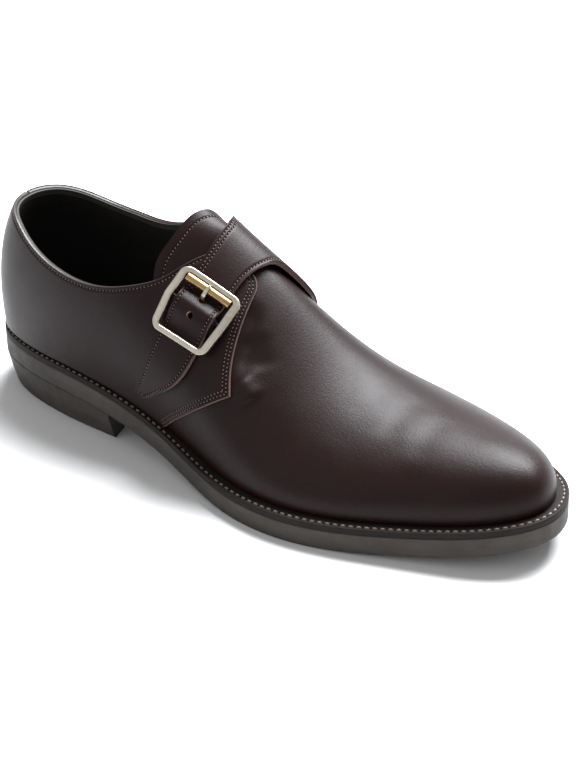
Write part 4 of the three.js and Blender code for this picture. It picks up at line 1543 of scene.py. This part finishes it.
def without_slivers(mesh):
    """A cut mesh with its large faces in triangles and the slivers along the cut merged away."""
    work = bmesh.new()
    work.from_mesh(mesh)
    bmesh.ops.triangulate(work, faces=[face for face in work.faces if len(face.verts) > 4])
    bmesh.ops.remove_doubles(work, verts=work.verts, dist=CLEAN_MERGE)
    bmesh.ops.dissolve_degenerate(work, edges=work.edges, dist=CLEAN_EDGE)
    work.to_mesh(mesh)
    work.free()


def ring_corners(low, high, half, radius, steps):
    """A rectangle with round corners: four quarter circles, each about its own centre."""
    angle = np.linspace(0, math.pi / 2, steps + 1)
    points = []
    for turns, (s, w) in enumerate(((high, half), (low, half), (low, -half), (high, -half))):
        centre = np.array([s - math.copysign(radius, s - (low + high) / 2), w - math.copysign(radius, w)])
        a = angle + turns * math.pi / 2
        points.append(centre + radius * np.stack([np.cos(a), np.sin(a)], -1))
    return np.concatenate(points)


def halved(ring):
    """A closed path with a point in the middle of each stretch."""
    points = np.stack([ring, (ring + np.roll(ring, -1, 0)) / 2], 1)
    return points.reshape(-1, ring.shape[1])


class SHOE_OT_buckle(bpy.types.Operator):
    """Buckle frame with its roller, pin and prong, and the tab that holds it"""

    bl_idname = "shoe.buckle"
    bl_label = "Buckle"

    def execute(self, context):
        self.frame()
        b = buckle()
        between = b.width / 2 - b.rail
        roller = b.roller - b.length / 2 + b.band - ROD_PLAY
        level = frame_level() - frame_dip(roller)
        self.rod("buckle_roller", roller, level, b.roller, between - ROD_PLAY, "brass", ROD_EASE)
        # The pin's near black colour is painted shade, so its ends between tab and rails read as the shade
        # under the strap
        self.rod("buckle_pin", b.pin_offset, pin_level(), b.pin / 2, between + b.rail / 2, "steel", PIN_EASE)
        self.prong()
        self.tab()
        return {"FINISHED"}

    def frame(self):
        """Frame: a round-cornered section, whose reach and rise are powers of cosine and sine, carried
        between the outline and the window, with bowed rails and a low middle."""
        b = buckle()
        half = b.length / 2
        inside = b.width / 2 - b.rail
        outer = halved(ring_corners(-half, half, b.width / 2, b.corner, CORNER_STEPS))
        window = halved(ring_corners(b.band - half, half - b.tip_bar, inside, b.window_corner, CORNER_STEPS))
        angle = np.linspace(0, TURN, 41)
        reach_power, rise_power = FRAME_POWERS
        share = 0.5 + 0.5 * squared(np.cos(angle), reach_power)
        level = 0.5 * squared(np.sin(angle), rise_power)
        p = window[:, None] + (outer - window)[:, None] * share[None, :, None]
        w = p[..., 1] * (1 + b.rail_bow * (1 - (p[..., 0] / half) ** 2) / (b.width / 2))
        sheets = Sheets()
        points = on_buckle(p[..., 0], w, frame_level() - frame_dip(p[..., 0]) + level[None] * b.thickness)
        sheets.grid(points, closed=True)
        make("buckle_frame_metal", sheets, ["nickel"], replaced=["buckle_frame"])

    def rod(self, name, s, level, radius, half, finish, ease):
        """A rod across the buckle whose ends are rounded off."""
        end = np.array([-1, -1, -1 + ease / half / 3, -1 + ease / half, -0.5])
        way = np.concatenate([end, [0], -end[::-1]])
        size = np.array([0, 0.8, 0.94, 1, 1, 1, 1, 1, 0.94, 0.8, 0])
        angle = np.linspace(0, TURN, 33)[:-1]
        ring_s = s + radius * size[None] * np.cos(angle)[:, None]
        ring_level = level + radius * size[None] * np.sin(angle)[:, None]
        sheets = Sheets()
        sheets.grid(on_buckle(ring_s, way[None] * half + 0 * ring_s, ring_level), closed=True)
        make(name, sheets, [finish], ROD_MERGE)

    def band(self, name, path, thickness, half, finish, slot, replaced, narrowed=None, slit=0.0):
        """A flat strip along a path of s and level: a rounded section carried along it, in two halves
        beside a slit if asked."""
        curve = spline_path(path, BAND_POINTS)
        tangent = unit(np.gradient(curve, axis=0))
        side = np.stack([-tangent[:, 1], tangent[:, 0]], -1)
        angle = np.linspace(0, TURN, 25)[:-1]
        across_power, rise_power = BAND_POWERS
        across = squared(np.cos(angle), across_power)
        rise = squared(np.sin(angle), rise_power)
        ends = np.ones(BAND_POINTS)
        ends[[0, -1]] = BAND_END
        ends[[1, -2]] = BAND_SHOULDER
        width = half * (ends if narrowed is None else ends * narrowed(np.linspace(0, 1, BAND_POINTS)))
        off = rise[None] * thickness / 2 * ends[:, None]
        s, level = (curve[:, None, i] + side[:, None, i] * off for i in (0, 1))
        w = across[None] * width[:, None]
        right = slit + (w + half) * (half - slit) / (2 * half)
        sheets = Sheets()
        for strip in [right, -right] if slit else [w]:
            points = on_buckle(s, strip, level)
            sheets.grid(np.swapaxes(points, 0, 1), closed=True)
            for end in (points[0], points[-1]):
                middle = np.repeat(end.mean(0)[None], len(end), 0)
                sheets.grid(np.stack([end, middle], 1), closed=True)
        make(name, sheets, [finish], BAND_MERGE, replaced=replaced)

    def round_pin(self, start, end):
        """Path round the pin from one angle to another."""
        b = buckle()
        angle = np.linspace(start, end, 13)
        radius = pin_bend()
        return np.stack([b.pin_offset + radius * np.cos(angle), pin_level() + radius * np.sin(angle)], -1)

    def prong(self):
        """Prong: round the pin, up through the strap's hole and onto the roller."""
        b = buckle()
        low = b.gap + b.loop / 2
        high = frame_level() + b.thickness / 2 + b.gap + b.loop / 2
        hole = hole_places()[0]
        up = np.array([(hole + s * MM, mix(low, high, t)) for s, t in PRONG_RISE])
        tip = np.array([[b.pin_offset - b.prong_reach - pin_bend(), high]])
        path = np.concatenate([self.round_pin(PRONG_START, -math.pi / 2), up, tip])

        def narrowed(t):
            return 1 - PRONG_NARROWER * smooth((t - PRONG_NARROW_FROM) / (1 - PRONG_NARROW_FROM))

        self.band(
            "buckle_prong_metal", path, b.loop * PRONG_THICKER, b.prong_width / 2, "nickel", "buckle_metal",
            ["buckle_prong"], narrowed=narrowed,
        )

    def tab(self):
        """Tab: a strip sewn to the quarter, folded round the pin with a slot for the prong."""
        b = buckle()
        low = b.gap + b.loop / 2
        fold = low + b.loop + b.gap
        path = np.concatenate([
            [[b.pin_offset + TAB_REACH, low], [b.pin_offset + pin_bend() + b.loop / 2 + b.gap, low]],
            self.round_pin(-math.pi / 2, -2 * math.pi),
            [
                [b.pin_offset + pin_bend() + TAB_PUFF[0], fold + TAB_PUFF[1]],
                [b.pin_offset + TAB_REACH * TAB_FOLD, fold],
            ],
        ])
        self.band(
            "buckle_tab_leather", path, b.loop, b.tab_width / 2 + b.tab_spread, "leather", "upper_leather",
            ["buckle_tab"], slit=b.prong_width / 2 + b.gap,
        )


# Tongue

# Edge of the tongue's free end: the place along the last at a share of its width, and how far it lifts
TONGUE_EDGE = table("across along lift", [
    (0, 0.345, 0),
    (0.1, 0.338, 0.2),
    (0.2, 0.343, 1.0),
    (0.3, 0.347, 1.8),
    (0.4, 0.35, 2.3),
    (0.5, 0.3545, 2.5),
    (0.6, 0.361, 2.6),
    (0.7, 0.37, 2.8),
    (0.8, 0.379, 2.2),
    (0.9, 0.389, 0.8),
    (1, 0.402, 0),
])
TONGUE_FRONT = 0.58
TONGUE_HALF_REAR = 0.56
TONGUE_HALF_FRONT = 0.42
TONGUE_FADE = 0.1
TONGUE_ROLL = 3 * MM
TONGUE_BAND = 4.2 * MM
TONGUE_ROW_END = 2 * MM
TONGUE_FINE = 0.12
TONGUE_BULGE = 0.8
tongue_edge = {name: spline(TONGUE_EDGE["across"], values) for name, values in TONGUE_EDGE.items()}


def tongue_place(i, j):
    """Station and place around of the tongue at a share of its length and of its width."""
    half = mix(TONGUE_HALF_REAR, TONGUE_HALF_FRONT, i)
    around = mix(-half, half, j)
    return station_of(mix(tongue_edge["along"](j), TONGUE_FRONT, i)), around


def tongue_level(q, around, thickness):
    """The tongue's level under the upper: lifted at its free end, with a soft hill under the strap made of
    two sine squares, and fading to the throat."""
    s = sizes()
    along = (1 - np.cos(math.pi * q)) / 2
    across = np.clip((around / TONGUE_HALF_REAR + 1) / 2, 0, 1)
    way = np.clip((along - tongue_edge["along"](across)) / TONGUE_FADE, 0, 1)
    roll = TONGUE_ROLL * np.sin(math.pi * way) ** 2 * np.sin(math.pi * across) ** 4
    lift = np.clip(tongue_edge["lift"](across), 0, None) * MM * (1 - smooth(way)) + roll
    return over(q, around, -s.wall - s.tongue_gap - s.tongue_thickness + lift + thickness)


def tongue_face(q, around):
    """Upper face of the tongue."""
    return tongue_level(q, around, sizes().tongue_thickness)


class SHOE_OT_tongue(bpy.types.Operator):
    """Padded tongue with a stitched band along its top"""

    bl_idname = "shoe.tongue"
    bl_label = "Tongue"

    def execute(self, context):
        t = np.linspace(0, 1, 300)
        q, around = tongue_place(np.zeros_like(t), t)
        near = tongue_place(np.full_like(t, 0.1), t)
        row = trimmed(seam(tongue_face, q, around, near, TONGUE_BAND), TONGUE_ROW_END, TONGUE_ROW_END)
        i = np.concatenate([np.linspace(0, TONGUE_FINE, 25)[:-1], np.linspace(TONGUE_FINE, 1, 50)])
        j = crowded(80 * MM, near=0.6 * MM, count=8, total=110)
        q, around = tongue_place(*np.meshgrid(i, j, indexing="ij"))
        face = tongue_face(q, around)
        back = tongue_level(q, around, 0.0)
        face = pressed(face, unit(face - back), [row])
        sheets = Sheets()
        sheets.grid(face)
        sheets.grid(back, slot=1)
        lip(sheets, border(face), border(back), TONGUE_BULGE, steps=8, turn=-1)
        make("tongue_leather", sheets, ["leather", "lining"], replaced=["tongue"])
        stitch_rows("tongue_stitches", [row], tongue_face)
        return {"FINISHED"}


# Stage


CAMERA_AZIMUTH = 37.558
CAMERA_ELEVATION = 32.0
CAMERA_ROLL = -1.57
CAMERA_DISTANCE = 1.2
CAMERA_TARGET = (0.15, 0.0, 0.04)
SENSOR_WIDTH = 36.0
FOCAL_PIXELS = 2716.1
IMAGE_HEIGHT = 768
SHIFT_PIXELS = (8.656, -5.49)
FLOOR_REACH = 6.0

# Soft lights of the studio: place, size, power, and a direction that the long side lies near
LIGHTS = {
    "key_panel": ((-0.03, 0.88, 1.37), (1.15, 0.98), 123, (-0.59, -0.37, 0.29)),
    "top_panel": ((-0.11, 0.48, 1.5), (0.45, 0.3), 16, (1, 0, 0)),
    "back_panel": ((0, 2, 0.4), (3.6, 1), 8, (1, 0, 0)),
    "front_panel": ((-0.45, -1.6, 1.05), (2.2, 1.2), 6, (1, 0, 0)),
}
LIGHT_TARGET = (0, 0, 0.03)
DAYLIGHT = (0.94, 0.965, 1.0)
WORLD_STRENGTH = 0.6


def placed(name, data, axes, place):
    """A camera or light at a place, turned to its own three axes."""
    thing = bpy.data.objects.new(name, data)
    thing.matrix_world = Matrix.Translation(Vector(place)) @ Matrix(axes).transposed().to_4x4()
    bpy.context.scene.collection.objects.link(thing)
    return thing


class SHOE_OT_stage(bpy.types.Operator):
    """Pale floor, soft studio light and the camera"""

    bl_idname = "shoe.stage"
    bl_label = "Stage"

    def execute(self, context):
        scene = context.scene
        self.camera(scene)
        self.floor(scene)
        for name, light in LIGHTS.items():
            self.light(name, *light)
        world = bpy.data.worlds.new("studio")
        world.use_nodes = True
        background = world.node_tree.nodes["Background"]
        background.inputs["Color"].default_value = (1, 1, 1, 1)
        background.inputs["Strength"].default_value = WORLD_STRENGTH
        scene.world = world
        scene.view_settings.view_transform = "Standard"
        return {"FINISHED"}

    def camera(self, scene):
        """Camera at the fitted angle and distance, rolled about its own axis."""
        azimuth, elevation, roll = (math.radians(v) for v in (CAMERA_AZIMUTH, CAMERA_ELEVATION, CAMERA_ROLL))
        level = math.cos(elevation)
        back = np.array([math.sin(azimuth) * level, -math.cos(azimuth) * level, math.sin(elevation)])
        right = np.array([math.cos(azimuth), math.sin(azimuth), 0.0])
        up = np.cross(back, right)
        across = math.cos(roll) * right + math.sin(roll) * up
        upward = -math.sin(roll) * right + math.cos(roll) * up
        data = bpy.data.cameras.new("camera")
        data.sensor_width = SENSOR_WIDTH
        data.lens = FOCAL_PIXELS / IMAGE_HEIGHT * SENSOR_WIDTH
        data.shift_x, data.shift_y = (pixels / IMAGE_HEIGHT for pixels in SHIFT_PIXELS)
        place = np.array(CAMERA_TARGET) + middle_of_frame() + back * CAMERA_DISTANCE
        scene.camera = placed("camera", data, (across, upward, back), place)

    def floor(self, scene):
        """Wide plain floor with a faint cloud in its colour."""
        r = FLOOR_REACH
        mesh = bpy.data.meshes.new("floor")
        mesh.from_pydata([(-r, -r, 0), (r, -r, 0), (r, r, 0), (-r, r, 0)], [], [(0, 1, 2, 3)])
        base = colours().floor
        made, tree, shader = material("floor_pale", base, 0.85, specular=0.2)
        mottled_colour(tree, shader, base, 0.99, 1.01, scale=3, detail=2)
        mesh.materials.append(made)
        thing = bpy.data.objects.new("floor", mesh)
        scene.collection.objects.link(thing)

    def light(self, name, place, size, power, along):
        """A rectangular soft light turned to the shoe, its long side as near a direction as it can be."""
        data = bpy.data.lights.new(name, "AREA")
        data.color = DAYLIGHT
        data.shape = "RECTANGLE"
        data.size, data.size_y = size
        data.energy = power
        away = (Vector(place) - Vector(LIGHT_TARGET)).normalized()
        side = (Vector(along) - away * Vector(along).dot(away)).normalized()
        placed(name, data, (side, away.cross(side), away), place)


class SHOE_PT_panel(bpy.types.Panel):
    """The shoe's pieces in the sidebar"""

    bl_label = "Monk strap shoe"
    bl_space_type = "VIEW_3D"
    bl_region_type = "UI"
    bl_category = "Shoe"

    def draw(self, context):
        column = self.layout.column()
        for operator in PIECES:
            column.operator(operator.bl_idname)
        for holder in GROUPS:
            group = getattr(context.scene, holder)
            for name in group.__annotations__:
                column.prop(group, name)


GROUPS = {
    "shoe_sizes": ShoeSizes,
    "shoe_buckle": BuckleSizes,
    "shoe_stitches": StitchSizes,
    "shoe_colours": ShoeColours,
}
PIECES = (
    SHOE_OT_stage,
    SHOE_OT_outsole,
    SHOE_OT_heel,
    SHOE_OT_welt,
    SHOE_OT_welt_stitches,
    SHOE_OT_sock,
    SHOE_OT_upper,
    SHOE_OT_tongue,
    SHOE_OT_outer_quarter,
    SHOE_OT_strap,
    SHOE_OT_buckle,
)


def register():
    """Registers the groups, the operators and the panel."""
    for group in GROUPS.values():
        bpy.utils.register_class(group)
    for operator in PIECES:
        bpy.utils.register_class(operator)
    bpy.utils.register_class(SHOE_PT_panel)
    for name, group in GROUPS.items():
        setattr(bpy.types.Scene, name, PointerProperty(type=group))


def unregister():
    """Takes them away again."""
    for name in GROUPS:
        delattr(bpy.types.Scene, name)
    bpy.utils.unregister_class(SHOE_PT_panel)
    for operator in reversed(PIECES):
        bpy.utils.unregister_class(operator)
    for group in reversed(GROUPS.values()):
        bpy.utils.unregister_class(group)


def main():
    """Builds every piece in order."""
    register()
    for operator in PIECES:
        group, name = operator.bl_idname.split(".")
        getattr(getattr(bpy.ops, group), name)()


if __name__ == "__main__":
    main()
